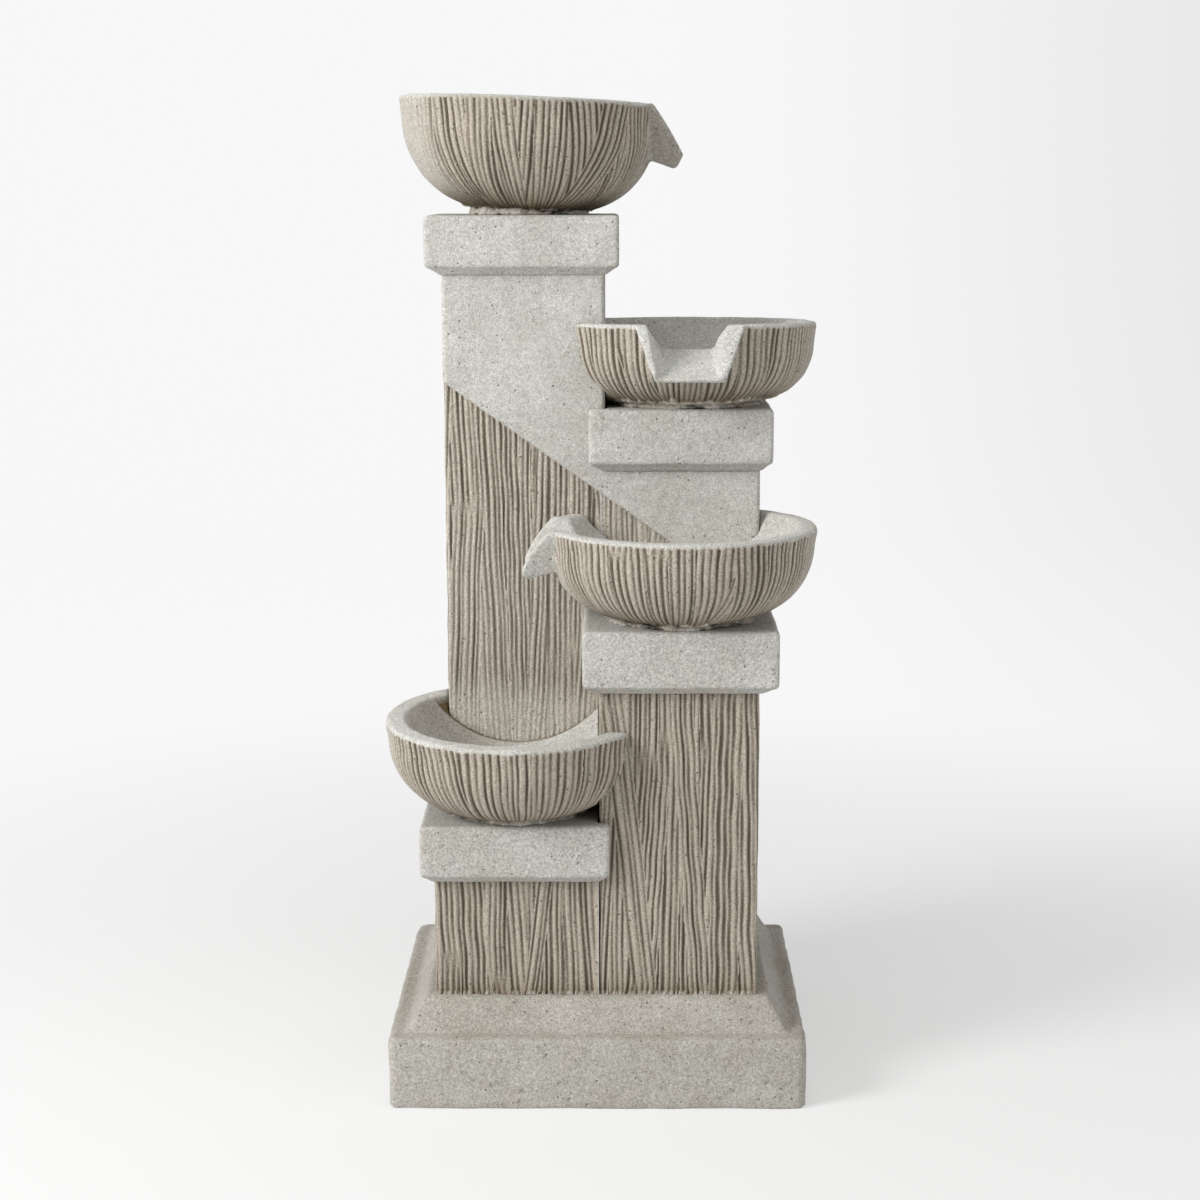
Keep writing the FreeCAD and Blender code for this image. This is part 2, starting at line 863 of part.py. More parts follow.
def lengthwise_edges(solid):
    """The straight edges of a solid that run along Y."""
    found = []
    for edge in solid.Edges:
        bounds = edge.BoundBox
        if bounds.YLength > 1e-3 and bounds.XLength + bounds.ZLength < 1e-6:
            found.append(edge)
    return found


def pump_housing():
    """The potted motor block with the rotor's well and the shaft's seat."""
    front = pump_face - pump_motor_length
    block = pump_box(front, pump_face)
    block = block.makeFillet(pump_corner_radius, lengthwise_edges(block))
    well_end = pump_face - pump_well_depth
    well = rod(rotor_radius + rotor_clearance, well_end, pump_face + past, pump_axis_x, pump_axis_z)
    loose_radius = shaft_radius + running_clearance
    seat = rod(loose_radius, well_end - shaft_seat, well_end + past, pump_axis_x, pump_axis_z)
    return block.cut(well).cut(seat)


def pump_volute_cover():
    """The impeller's chamber with its intake eye, bush, three arms and upright outlet nozzle."""
    back = pump_face + volute_length
    plate = back - volute_wall
    cup = rod(volute_radius, pump_face, back, pump_axis_x, pump_axis_z)
    outlet = Vector(pump_axis_x, pump_axis_y, 0)
    cup = cup.fuse(post(nozzle_radius, pump_axis_z, nozzle_top, outlet))
    chamber = rod(volute_radius - volute_wall, pump_face - past, plate, pump_axis_x, pump_axis_z)
    cup = cup.cut(box(
        pump_axis_x - nozzle_radius, pump_axis_x + nozzle_radius, pump_face - nozzle_radius, pump_face,
        pump_axis_z, pump_top + seat_gap,
    ))
    cup = cup.cut(chamber)
    cup = cup.cut(post(nozzle_bore_radius, pump_axis_z, nozzle_top + past, outlet))
    eye = rod(volute_eye_radius, plate - past, back + past, pump_axis_x, pump_axis_z)
    bush = rod(volute_bush_radius, plate, back, pump_axis_x, pump_axis_z)
    cup = cup.cut(eye).fuse(bush)
    for number in range(3):
        arm = box(
            pump_axis_x - volute_arm / 2, pump_axis_x + volute_arm / 2, plate, back,
            pump_axis_z, pump_axis_z + volute_eye_radius + volute_wall / 2,
        )
        arm.rotate(Vector(pump_axis_x, 0, pump_axis_z), BACK, 60 + number * 120)
        cup = cup.fuse(arm)
    return cup.cut(rod(shaft_radius + running_clearance, plate - past, back + past, pump_axis_x, pump_axis_z))


def pump_strainer_cover():
    """The slotted intake shell that closes the pump's face, notched for the nozzle."""
    back = pump_face + pump_intake_length
    shell = pump_box(pump_face, back)
    shell = shell.makeFillet(pump_corner_radius, lengthwise_edges(shell))
    shell = shell.cut(pump_box(pump_face - past, back - pump_shell, pump_shell))
    notch = nozzle_radius + rotor_clearance
    shell = shell.cut(box(
        pump_axis_x - notch, pump_axis_x + notch, pump_face - past, pump_axis_y + notch,
        pump_top - pump_shell - past, pump_top + past,
    ))
    first = -(intake_slot_count - 1) * intake_slot_pitch / 2
    slot_top = pump_axis_z
    for number in range(intake_slot_count):
        middle = pump_axis_x + first + number * intake_slot_pitch
        shell = shell.cut(box(
            middle - intake_slot / 2, middle + intake_slot / 2, back - pump_shell - past, back + past,
            slot_top - intake_slot_height, slot_top,
        ))
    stem = rod(
        dial_stem_radius + running_clearance, back - pump_shell - past, back + past,
        pump_axis_x, pump_axis_z + dial_height,
    )
    return shell.cut(stem)


def pump_impeller():
    """The magnet rotor with its shroud, hub and straight blades, bored for the shaft."""
    tip = pump_face + volute_length - volute_wall - impeller_play
    blade_start = tip - impeller_blade_height
    shroud_start = blade_start - impeller_shroud
    rotor_start = shroud_start - rotor_length
    turning = rod(rotor_radius, rotor_start, shroud_start, pump_axis_x, pump_axis_z)
    shroud = rod(impeller_radius, shroud_start, blade_start, pump_axis_x, pump_axis_z)
    hub = rod(impeller_hub_radius, blade_start, tip, pump_axis_x, pump_axis_z)
    blades = []
    for number in range(impeller_blade_count):
        blade = box(
            pump_axis_x - impeller_blade / 2, pump_axis_x + impeller_blade / 2, blade_start, tip,
            pump_axis_z, pump_axis_z + impeller_radius - impeller_blade / 2,
        )
        blade.rotate(Vector(pump_axis_x, 0, pump_axis_z), BACK, number * 360 / impeller_blade_count)
        blades.append(blade)
    body = turning.fuse([shroud, hub] + blades)
    bore = rod(shaft_radius + running_clearance, rotor_start - past, tip + past, pump_axis_x, pump_axis_z)
    return body.cut(bore)


def pump_shaft():
    """The ceramic pin that the rotor turns on, from the well's seat to the cover's bush."""
    front = pump_face - pump_well_depth - shaft_seat
    return rod(shaft_radius, front, pump_face + volute_length, pump_axis_x, pump_axis_z)


def pump_flow_dial():
    """The flow dial: a disc with a raised grip on a stem through the intake shell."""
    shell_back = pump_face + pump_intake_length
    front = shell_back + seat_gap
    x = pump_axis_x
    z = pump_axis_z + dial_height
    disc = rod(dial_radius, front, front + dial_thickness, x, z)
    stem = rod(dial_stem_radius, shell_back - pump_shell, front, x, z)
    grip = box(
        x - dial_grip / 2, x + dial_grip / 2, front, front + dial_thickness + dial_grip,
        z - dial_radius + dial_grip / 2, z + dial_radius - dial_grip / 2,
    )
    return disc.fuse([stem, grip])


def pump_suction_feet():
    """Four waisted rubber feet between the pump and the plinth's floor."""
    feet = []
    front = pump_face - pump_motor_length + foot_inset
    back = pump_face - foot_inset
    side = pump_width / 2 - foot_inset
    waist = plinth_floor + foot_height / 2
    for x in (pump_axis_x - side, pump_axis_x + side):
        for y in (front, back):
            spot = Vector(x, y, plinth_floor)
            cup = Part.makeCone(foot_radius, foot_waist_radius, foot_height / 2, spot, UP)
            feet.append(cup.fuse(post(foot_waist_radius, waist, pump_bottom, spot)))
    return Part.makeCompound(feet)


# Riser hose and the top bowl's inlet

inlet_seat = top_tier.bowl_bottom + bowl_floor
barb_top = top_tier.bowl_bottom - nut_thickness - seat_gap - inlet_flange
barb_bottom = barb_top - inlet_barb_length
hose_bottom = nozzle_top - hose_overlap
hose_top = barb_bottom + hose_overlap


def hose_path():
    """The hose's middle line: up from the pump, over in two equal bends, and up to the inlet."""
    offset = top_tier.bowl_axis.x - pump_axis_x
    turn = math.acos(1 - offset / (2 * hose_bend_radius))
    rise = hose_bend_radius * math.sin(turn)
    half_turn_x = hose_bend_radius * (1 - math.cos(turn / 2))
    half_turn_z = hose_bend_radius * math.sin(turn / 2)
    start = plinth_top + hose_bend_height
    y = pump_axis_y

    def spot(x, z):
        """A point of the middle line."""
        return Vector(x, y, z)

    low = spot(pump_axis_x, start)
    middle = spot(pump_axis_x + offset / 2, start + rise)
    high = spot(pump_axis_x + offset, start + 2 * rise)
    first = Part.Arc(low, spot(pump_axis_x + half_turn_x, start + half_turn_z), middle)
    second = Part.Arc(
        middle, spot(high.x - half_turn_x, high.z - half_turn_z), high
    )
    return Part.Wire([
        Part.makeLine(spot(pump_axis_x, hose_bottom), low),
        first.toShape(),
        second.toShape(),
        Part.makeLine(high, spot(high.x, hose_top)),
    ])


def riser_hose():
    """The riser hose, swept along its middle line."""
    path = hose_path()
    start = Vector(pump_axis_x, pump_axis_y, hose_bottom)
    outer = Part.Wire([Part.makeCircle(hose_radius, start, UP)])
    inner = Part.Wire([Part.makeCircle(hose_bore_radius, start, UP)])
    full = path.makePipeShell([outer], True, False)
    bore = path.makePipeShell([inner], True, False)
    return full.cut(bore)


def hose_clamp(axis, middle):
    """A clamp band with its screw ear, round the hose at one height."""
    inside = hose_radius + hose_clearance
    outside = inside + clamp_band
    bottom = middle - clamp_width / 2
    top = middle + clamp_width / 2
    ear = box(
        axis.x + inside, axis.x + outside + clamp_ear, axis.y - clamp_ear / 2, axis.y + clamp_ear / 2,
        bottom, top,
    )
    return post(outside, bottom, top, axis).fuse(ear).cut(post(inside, bottom - past, top + past, axis))


def hose_clamps():
    """The two clamps, at the pump's nozzle and at the inlet's barb."""
    low = hose_clamp(Vector(pump_axis_x, pump_axis_y, 0), hose_bottom + hose_overlap / 2)
    high = hose_clamp(top_tier.bowl_axis, hose_top - hose_overlap / 2)
    return Part.makeCompound([low, high])


def inlet_fitting():
    """The bulkhead inlet: a flange in the bowl, a stem through its floor and a hose barb."""
    flange_bottom = inlet_seat + gasket_thickness
    body = turned(outline([
        (inlet_bore_radius, barb_bottom),
        (inlet_barb_radius, barb_bottom),
        (inlet_barb_radius, barb_top),
        (inlet_stem_radius, barb_top),
        (inlet_stem_radius, flange_bottom),
        (inlet_flange_radius, flange_bottom),
        (inlet_flange_radius, flange_bottom + inlet_flange / 2),
        (inlet_flange_radius - inlet_flange / 2, flange_bottom + inlet_flange),
        (inlet_bore_radius, flange_bottom + inlet_flange),
    ]))
    body.translate(top_tier.bowl_axis)
    return body


def inlet_gasket():
    """The flat rubber ring between the inlet's flange and the bowl's floor."""
    top = inlet_seat + gasket_thickness
    ring = post(gasket_radius, inlet_seat, top, top_tier.bowl_axis)
    hole_radius = inlet_stem_radius + hose_clearance
    return ring.cut(post(hole_radius, inlet_seat - past, top + past, top_tier.bowl_axis))


def inlet_nut():
    """The hexagon nut that draws the inlet down, under the bowl's foot."""
    top = top_tier.bowl_bottom
    bottom = top - nut_thickness
    reach = nut_width / math.sqrt(3)
    corners = []
    for number in range(6):
        angle = math.radians(60 * number)
        corners.append(Vector(reach * math.cos(angle), reach * math.sin(angle), bottom))
    face = Part.Face(Part.makePolygon(corners + corners[:1]))
    nut = face.extrude(UP * nut_thickness)
    nut = nut.cut(post(inlet_stem_radius + hose_clearance, bottom - past, top + past))
    nut.translate(top_tier.bowl_axis)
    return nut


# Drain of the lowest bowl

drain_seat = lowest_tier.bowl_bottom + bowl_floor
drain_bottom = lowest_tier.cap_top - cap_slab - drain_tail
strainer_seat = drain_seat + drain_flange - drain_seat_depth


def drain_bush():
    """The flanged drain bush, stepped at its mouth for the strainer."""
    flange_top = drain_seat + drain_flange
    body = turned(outline([
        (drain_bore_radius, drain_bottom),
        (drain_tube_radius, drain_bottom),
        (drain_tube_radius, drain_seat),
        (drain_flange_radius, drain_seat),
        (drain_flange_radius, flange_top),
        (drain_seat_radius, flange_top),
        (drain_seat_radius, strainer_seat),
        (drain_bore_radius, strainer_seat),
    ]))
    body.translate(lowest_tier.bowl_axis)
    return body


def drain_strainer():
    """The lift-out strainer: a slotted disc with a spigot below and a knob above."""
    bottom = strainer_seat + seat_gap
    top = bottom + drain_seat_depth
    spigot_radius = drain_bore_radius - strainer_clearance
    disc = post(drain_seat_radius - strainer_clearance, bottom, top)
    spigot = post(spigot_radius, bottom - strainer_spigot, bottom)
    spigot = spigot.cut(
        post(spigot_radius - strainer_spigot_wall, bottom - strainer_spigot - past, bottom)
    )
    knob = Part.makeCone(
        strainer_knob_neck_radius, strainer_knob_radius, strainer_knob_height, Vector(0, 0, top), UP
    )
    body = disc.fuse([spigot, knob])
    for number in range(strainer_slot_count):
        slot = box(
            strainer_slot_inner, strainer_slot_outer, -strainer_slot / 2, strainer_slot / 2,
            bottom - past, top + past,
        )
        slot.rotate(Vector(0, 0, 0), UP, number * 360 / strainer_slot_count)
        body = body.cut(slot)
    body.translate(lowest_tier.bowl_axis)
    return body


def build():
    """Every piece of the fountain, by name."""
    pieces = {"plinth": plinth(), "tall_column": tall_column()}
    for tier in tiers[1:]:
        pieces[tier.column] = column(tier)
    for tier in tiers:
        pieces[tier.name + "_cap_block"] = cap_block(tier)
        pieces[tier.name + "_mortar_bed"] = mortar_bed(tier)
        pieces[tier.name + "_bowl"] = bowl(tier)
    makers = [
        access_door, cable_grommet, pump_housing, pump_volute_cover, pump_strainer_cover, pump_impeller,
        pump_shaft, pump_flow_dial, pump_suction_feet, riser_hose, hose_clamps, inlet_fitting,
        inlet_gasket, inlet_nut, drain_bush, drain_strainer,
    ]
    for maker in makers:
        pieces[maker.__name__] = maker()
    return pieces


def main():
    """Write each piece to its own file."""
    os.makedirs("parts", exist_ok=True)
    for name, shape in build().items():
        shape.exportStep("parts/" + name + ".step")
        print(name, len(shape.Solids), "solid", shape.isValid(), round(shape.Volume / 1000, 1), "cm3")


main()
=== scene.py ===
import logging
import math
from contextlib import contextmanager
from dataclasses import dataclass
from enum import Enum
from typing import Iterator, Optional, Sequence, Union

import bpy
import numpy as np
from mathutils import Matrix, Vector


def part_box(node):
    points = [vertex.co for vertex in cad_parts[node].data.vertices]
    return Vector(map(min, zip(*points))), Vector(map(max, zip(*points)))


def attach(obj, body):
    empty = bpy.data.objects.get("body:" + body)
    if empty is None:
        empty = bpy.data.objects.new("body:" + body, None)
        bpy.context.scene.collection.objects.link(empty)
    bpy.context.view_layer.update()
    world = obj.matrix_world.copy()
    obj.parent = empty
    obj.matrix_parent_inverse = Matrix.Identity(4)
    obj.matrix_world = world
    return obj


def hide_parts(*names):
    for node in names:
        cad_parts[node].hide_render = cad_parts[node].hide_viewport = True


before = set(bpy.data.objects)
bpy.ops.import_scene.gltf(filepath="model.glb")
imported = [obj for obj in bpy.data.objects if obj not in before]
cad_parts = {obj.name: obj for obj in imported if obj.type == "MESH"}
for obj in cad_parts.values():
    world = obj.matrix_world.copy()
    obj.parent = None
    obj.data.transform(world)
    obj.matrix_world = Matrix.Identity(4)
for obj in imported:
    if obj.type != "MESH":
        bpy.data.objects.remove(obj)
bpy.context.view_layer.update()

MM = 0.001
FOUNTAIN = "fountain"
MERGE_MM = 0.01
# Where most values of a noise pattern lie
NOISE_RANGE = (0.3, 0.7)
log = logging.getLogger("fountain")

Colour = tuple[float, float, float, float]
Setting = Union[float, Colour, tuple[float, float, float], bpy.types.NodeSocket]


# Small helpers for meshes

def deselect_all() -> None:
    """Leave edit mode and clear the selection."""
    active = bpy.context.view_layer.objects.active
    if active and active.mode != "OBJECT":
        bpy.ops.object.mode_set(mode="OBJECT")
    bpy.ops.object.select_all(action="DESELECT")


def make_active(piece: bpy.types.Object) -> None:
    """Select one object alone and make it the active one."""
    deselect_all()
    piece.select_set(True)
    bpy.context.view_layer.objects.active = piece


@contextmanager
def editing(piece: bpy.types.Object) -> Iterator[None]:
    """Edit one mesh with all of it selected, and leave edit mode at the end."""
    make_active(piece)
    bpy.ops.object.mode_set(mode="EDIT")
    bpy.ops.mesh.select_all(action="SELECT")
    yield
    bpy.ops.object.mode_set(mode="OBJECT")


def points_of(piece: bpy.types.Object) -> np.ndarray:
    """The corners of a mesh in millimetres, one row each."""
    flat = np.empty(len(piece.data.vertices) * 3)
    piece.data.vertices.foreach_get("co", flat)
    return flat.reshape(-1, 3) / MM


def normals_of(piece: bpy.types.Object) -> np.ndarray:
    """The outward directions at the corners of a mesh, one row each."""
    flat = np.empty(len(piece.data.vertices) * 3)
    piece.data.vertex_normals.foreach_get("vector", flat)
    return flat.reshape(-1, 3)


def move_points(piece: bpy.types.Object, points: np.ndarray) -> None:
    """Put the corners of a mesh at new places, given in millimetres."""
    piece.data.vertices.foreach_set("co", (points * MM).ravel())
    piece.data.update()


def paint(piece: bpy.types.Object, **layers: np.ndarray) -> None:
    """Store one number per corner under each layer's name, for the material to read."""
    for name, values in layers.items():
        layer = piece.data.attributes.new(name, "FLOAT", "POINT")
        layer.data.foreach_set("value", values.astype(np.float32).ravel())


def smoothstep(values: np.ndarray, start: float, end: float) -> np.ndarray:
    """Rise smoothly from 0 at start to 1 at end."""
    share = np.clip((values - start) / (end - start), 0.0, 1.0)
    return share * share * (3.0 - 2.0 * share)


def apply_modifier(piece: bpy.types.Object, kind: str, **settings: object) -> None:
    """Add a modifier with its settings and apply it.

    Args:
        piece: The mesh object that it shapes.
        kind: Blender's name for the kind of modifier.
        settings: The modifier's properties.
    """
    make_active(piece)
    modifier = piece.modifiers.new("shape", kind)
    for name, value in settings.items():
        setattr(modifier, name, value)
    bpy.ops.object.modifier_apply(modifier=modifier.name)


def remesh(piece: bpy.types.Object, voxel_mm: float) -> None:
    """Give a solid an even mesh with faces of about a size in millimetres."""
    apply_modifier(piece, "REMESH", mode="VOXEL", voxel_size=voxel_mm * MM, use_smooth_shade=True)


def soften(piece: bpy.types.Object, steps: int) -> None:
    """Round a mesh's edges off, more with each step."""
    apply_modifier(piece, "SMOOTH", factor=0.5, iterations=steps)


def merge_doubles(piece: bpy.types.Object, turn_out: bool) -> None:
    """Join corners that lie on each other.

    Args:
        piece: The mesh object.
        turn_out: Whether the faces are also turned to point outwards.
    """
    with editing(piece):
        bpy.ops.mesh.remove_doubles(threshold=MERGE_MM * MM)
        bpy.ops.mesh.dissolve_degenerate(threshold=MERGE_MM * MM)
        if turn_out:
            bpy.ops.mesh.select_all(action="SELECT")
            bpy.ops.mesh.normals_make_consistent(inside=False)


def cad_copy(node: str, name: str) -> bpy.types.Object:
    """A new object with a merged copy of a CAD node's mesh.

    Args:
        node: The CAD node's name.
        name: The new object's name.

    Returns:
        The new object.
    """
    copy = bpy.data.objects.new(name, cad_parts[node].data.copy())
    bpy.context.scene.collection.objects.link(copy)
    copy.data.materials.clear()
    merge_doubles(copy, turn_out=False)
    return copy


def prism(outline: np.ndarray, push: Sequence[float]) -> bpy.types.Object:
    """A solid pushed out of a flat outline.

    Args:
        outline: The outline's corners in millimetres, one row each.
        push: How far and which way it is extruded, in millimetres.

    Returns:
        The solid.
    """
    deselect_all()
    bpy.ops.mesh.primitive_circle_add(vertices=len(outline), fill_type="NGON")
    solid = bpy.context.object
    move_points(solid, outline)
    shift = tuple(length * MM for length in push)
    with editing(solid):
        bpy.ops.mesh.extrude_region_move(TRANSFORM_OT_translate={"value": shift})
        bpy.ops.mesh.select_all(action="SELECT")
        bpy.ops.mesh.normals_make_consistent(inside=False)
    return solid


def lathe(outline: np.ndarray, axis: np.ndarray, steps: int) -> bpy.types.Object:
    """A solid turned from an outline about an upright axis.

    Args:
        outline: Rows of radius and height in millimetres, from the axis out and back to it.
        axis: A point of the axis in millimetres.
        steps: How many steps make the full turn.

    Returns:
        The solid.
    """
    deselect_all()
    bpy.ops.mesh.primitive_circle_add(vertices=len(outline), fill_type="NOTHING")
    solid = bpy.context.object
    places = np.column_stack([outline[:, 0] + axis[0], np.full(len(outline), axis[1]), outline[:, 1]])
    move_points(solid, places)
    centre = (axis[0] * MM, axis[1] * MM, 0.0)
    with editing(solid):
        bpy.ops.mesh.spin(steps=steps, angle=math.tau, center=centre, axis=(0.0, 0.0, 1.0))
    merge_doubles(solid, turn_out=True)
    return solid


def block(low: Sequence[float], high: Sequence[float]) -> bpy.types.Object:
    """A box between two corners, given in millimetres."""
    deselect_all()
    bpy.ops.mesh.primitive_cube_add(size=1.0)
    solid = bpy.context.object
    share = points_of(solid) * MM + 0.5
    move_points(solid, np.array(low) + share * (np.array(high) - np.array(low)))
    return solid


class Join(Enum):
    """How one solid changes another."""

    ADD = "UNION"
    CUT = "DIFFERENCE"
    KEEP_COMMON = "INTERSECT"


def combine(piece: bpy.types.Object, other: bpy.types.Object, join: Join) -> None:
    """Change one solid by another, which is used up."""
    apply_modifier(piece, "BOOLEAN", object=other, operation=join.value, solver="EXACT")
    bpy.data.objects.remove(other)


def box_mm(node: str) -> tuple[np.ndarray, np.ndarray]:
    """A CAD node's lowest and highest corners in millimetres."""
    low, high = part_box(node)
    return np.array(low) / MM, np.array(high) / MM


def place(
    piece: bpy.types.Object, material: bpy.types.Material, name: str, body: str, slot: str, *nodes: str
) -> None:
    """Dress and name a finished piece and hand it to its body.

    Args:
        piece: The finished object.
        material: The finish of its faces.
        name: Its name.
        body: The CAD body that it moves with.
        slot: The record's material slot; not used.
        nodes: The CAD nodes that it stands for.
    """
    piece.data.materials.append(material)
    piece.name = name
    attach(piece, body)
    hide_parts(*nodes)
    log.info("%s: %d corners on %s", name, len(piece.data.vertices), body)


# Surface unevenness

@dataclass(frozen=True)
class Waviness:
    """Smooth unevenness of a hand-finished face, as a sum of plane waves."""

    seed: int
    height_mm: float
    shortest_mm: float
    longest_mm: float
    count: int = 24

    def at(self, points: np.ndarray) -> np.ndarray:
        """The height of the unevenness at each point.

        Args:
            points: Places in millimetres, one row each.

        Returns:
            Heights in millimetres, about height_mm on average, up or down.
        """
        chance = np.random.default_rng(self.seed)
        total = np.zeros(len(points))
        for _ in range(self.count):
            direction = chance.normal(size=3)
            direction /= np.linalg.norm(direction)
            length = math.exp(chance.uniform(math.log(self.shortest_mm), math.log(self.longest_mm)))
            phase = chance.uniform(0.0, math.tau)
            total += np.sin(points @ direction * (math.tau / length) + phase)
        return total * self.height_mm / math.sqrt(self.count / 2)


@dataclass(frozen=True)
class CombStroke:
    """One pass of the comb.

    It has the share of the lean and the curve that it takes, its middle across the face, its start and
    its length along the face, and the number and spacing of the teeth that touch.
    """

    share: float
    middle: float
    low: float
    length: float
    teeth: int
    pitch: float


@dataclass(frozen=True)
class CombPasses:
    """Hand-combed grooves: passes of a small comb laid over each other, each leaning its own way."""

    seed: int
    teeth: tuple[int, int] = (3, 6)
    pitch_mm: tuple[float, float] = (5.0, 6.2)
    sharpness: tuple[float, float] = (1.1, 3.6)
    depth_mm: tuple[float, float] = (1.2, 2.2)
    length_mm: tuple[float, float] = (240.0, 620.0)
    lean: float = 0.042
    curve: float = 0.00004
    step_on: float = 0.85
    taper_mm: float = 36.0
    wobble_mm: tuple[float, float] = (0.15, 0.6)
    wobble_length_mm: tuple[float, float] = (50.0, 140.0)
    tooth_play_mm: float = 0.55
    fading: float = 0.3
    narrowing: float = 0.25

    def depth(self, across: np.ndarray, up: np.ndarray, scale: np.ndarray) -> np.ndarray:
        """How deep the grooves are at each point.

        Args:
            across: Distance across the strokes in millimetres, in rising order.
            up: Distance along the strokes in millimetres.
            scale: True length of a millimetre across at each point.

        Returns:
            Depths in millimetres.
        """
        chance = np.random.default_rng(self.seed)
        carved = np.zeros(len(across))
        span = (up.min(), up.max())
        # One upright layer over the whole face, then leaning strokes over it
        for share, whole_length in ((0.0, 4 * (span[1] - span[0])), (1.0, 0.0)):
            strokes = []
            place_across = across[0] - self.pitch_mm[1]
            while place_across < across[-1] + self.pitch_mm[1]:
                teeth = int(chance.integers(self.teeth[0], self.teeth[1] + 1))
                pitch = chance.uniform(*self.pitch_mm)
                width = teeth * pitch
                low = span[0] - chance.uniform(0.0, self.length_mm[0])
                while low < span[1]:
                    length = whole_length or chance.uniform(*self.length_mm)
                    strokes.append(CombStroke(share, place_across + width / 2, low, length, teeth, pitch))
                    low += length - self.taper_mm
                place_across += width * (self.step_on if share else 1.0)
            chance.shuffle(strokes)
            for stroke in strokes:
                self.carve(carved, across, up, scale, chance, stroke)
        return carved

    def carve(
        self, carved: np.ndarray, across: np.ndarray, up: np.ndarray, scale: np.ndarray,
        chance: np.random.Generator, stroke: CombStroke,
    ) -> None:
        """Drag the comb once over the face, wiping out what it passes over.

        Args:
            carved: Depths so far, which are changed in place.
            across: Distance across the strokes in millimetres, in rising order.
            up: Distance along the strokes in millimetres.
            scale: True length of a millimetre across at each point.
            chance: The random draw.
            stroke: Where the comb goes, and its teeth.
        """
        middle, length, count, pitch = stroke.middle, stroke.length, stroke.teeth, stroke.pitch
        lean = stroke.share * chance.normal(0.0, self.lean)
        curve = stroke.share * chance.normal(0.0, self.curve)
        wobble = chance.uniform(*self.wobble_mm)
        wobble_length = chance.uniform(*self.wobble_length_mm)
        phase = chance.uniform(0.0, math.tau)
        play = chance.normal(0.0, self.tooth_play_mm, count)
        depths = chance.uniform(*self.depth_mm, count)
        sharpness = chance.uniform(*self.sharpness, count)
        half = count * pitch / 2
        reach = half + wobble + abs(lean) * length / 2 + abs(curve) * length ** 2 / 4
        first, last = np.searchsorted(across, [middle - reach, middle + reach])
        along = up[first:last] - stroke.low - length / 2
        line = middle + lean * along + curve * along ** 2
        line = line + wobble * np.sin(along * math.tau / wobble_length + phase)
        offset = across[first:last] - line
        touched = (np.abs(offset) < half) & (np.abs(along) < length / 2)
        if not touched.any():
            return
        spots = np.arange(first, last)[touched]
        offset, along = offset[touched], along[touched]
        tooth = np.clip(np.floor((offset + half) / pitch).astype(int), 0, count - 1)
        away = np.abs(offset + half - (tooth + 0.5) * pitch - play[tooth]) / pitch
        groove = depths[tooth] * np.cos(math.pi * np.minimum(away, 0.5)) ** sharpness[tooth]
        # The hand presses now harder, now lighter, along the way
        press = 0.5 + 0.5 * np.sin(along * math.tau / (1.3 * wobble_length) + 3 * phase + 2 * tooth)
        groove *= (1.0 - self.fading * press) * scale[spots] ** self.narrowing
        ends = np.clip((length / 2 - np.abs(along)) / self.taper_mm, 0.0, 1.0)
        carved[spots] = carved[spots] * (1.0 - ends) + groove * ends


def sink_pits(piece: bpy.types.Object, seed: int, count: int, depth_mm: float) -> np.ndarray:
    """Push scattered corners in as pinholes.

    Args:
        piece: The cast block.
        seed: Start of the random draw.
        count: How many pinholes there are.
        depth_mm: How deep the deepest are.

    Returns:
        For each corner, its depth as a share of depth_mm, which is 0 outside the pinholes.
    """
    chance = np.random.default_rng(seed)
    points = points_of(piece)
    chosen = chance.choice(len(points), size=count, replace=False)
    depths = depth_mm * chance.uniform(0.4, 1.0, size=count)
    points[chosen] -= normals_of(piece)[chosen] * depths[:, None]
    move_points(piece, points)
    pits = np.zeros(len(points))
    pits[chosen] = depths / depth_mm
    return pits


# Finishes

def linear(code: str) -> Colour:
    """The linear colour of an sRGB hex code such as #c8c4ba."""
    parts = [int(code[place:place + 2], 16) / 255 for place in (1, 3, 5)]
    red, green, blue = [
        part / 12.92 if part <= 0.04045 else ((part + 0.055) / 1.055) ** 2.4 for part in parts
    ]
    return (red, green, blue, 1.0)


def add_node(
    tree: bpy.types.NodeTree, kind: str, inputs: dict[Union[int, str], Setting], **settings: object
) -> bpy.types.Node:
    """Add a node with its settings, and fill or link its inputs.

    Args:
        tree: The material's or world's node tree.
        kind: Blender's name for the node.
        inputs: A value or another node's output for each named or numbered input.
        settings: The node's properties.

    Returns:
        The new node.
    """
    node = tree.nodes.new(kind)
    for name, value in settings.items():
        setattr(node, name, value)
    for key, value in inputs.items():
        if isinstance(value, bpy.types.NodeSocket):
            tree.links.new(value, node.inputs[key])
        else:
            node.inputs[key].default_value = value
    return node


def new_material(name: str) -> tuple[bpy.types.Material, bpy.types.NodeTree, bpy.types.NodeSocket]:
    """An empty node material, its tree and the output of the object's coordinates."""
    material = bpy.data.materials.new(name)
    material.use_nodes = True
    tree = material.node_tree
    tree.nodes.clear()
    return material, tree, add_node(tree, "ShaderNodeTexCoord", {}).outputs["Object"]


def per_metre(size_mm: float) -> float:
    """The scale that gives a pattern one repeat for a size in millimetres."""
    return 1.0 / (size_mm * MM)


def mix_colours(
    tree: bpy.types.NodeTree, share: Setting, first: Setting, second: Setting, way: str = "MIX"
) -> bpy.types.NodeSocket:
    """The output that goes from one colour to another as share goes from 0 to 1."""
    inputs = {0: share, 6: first, 7: second}
    return add_node(tree, "ShaderNodeMix", inputs, data_type="RGBA", blend_type=way).outputs[2]


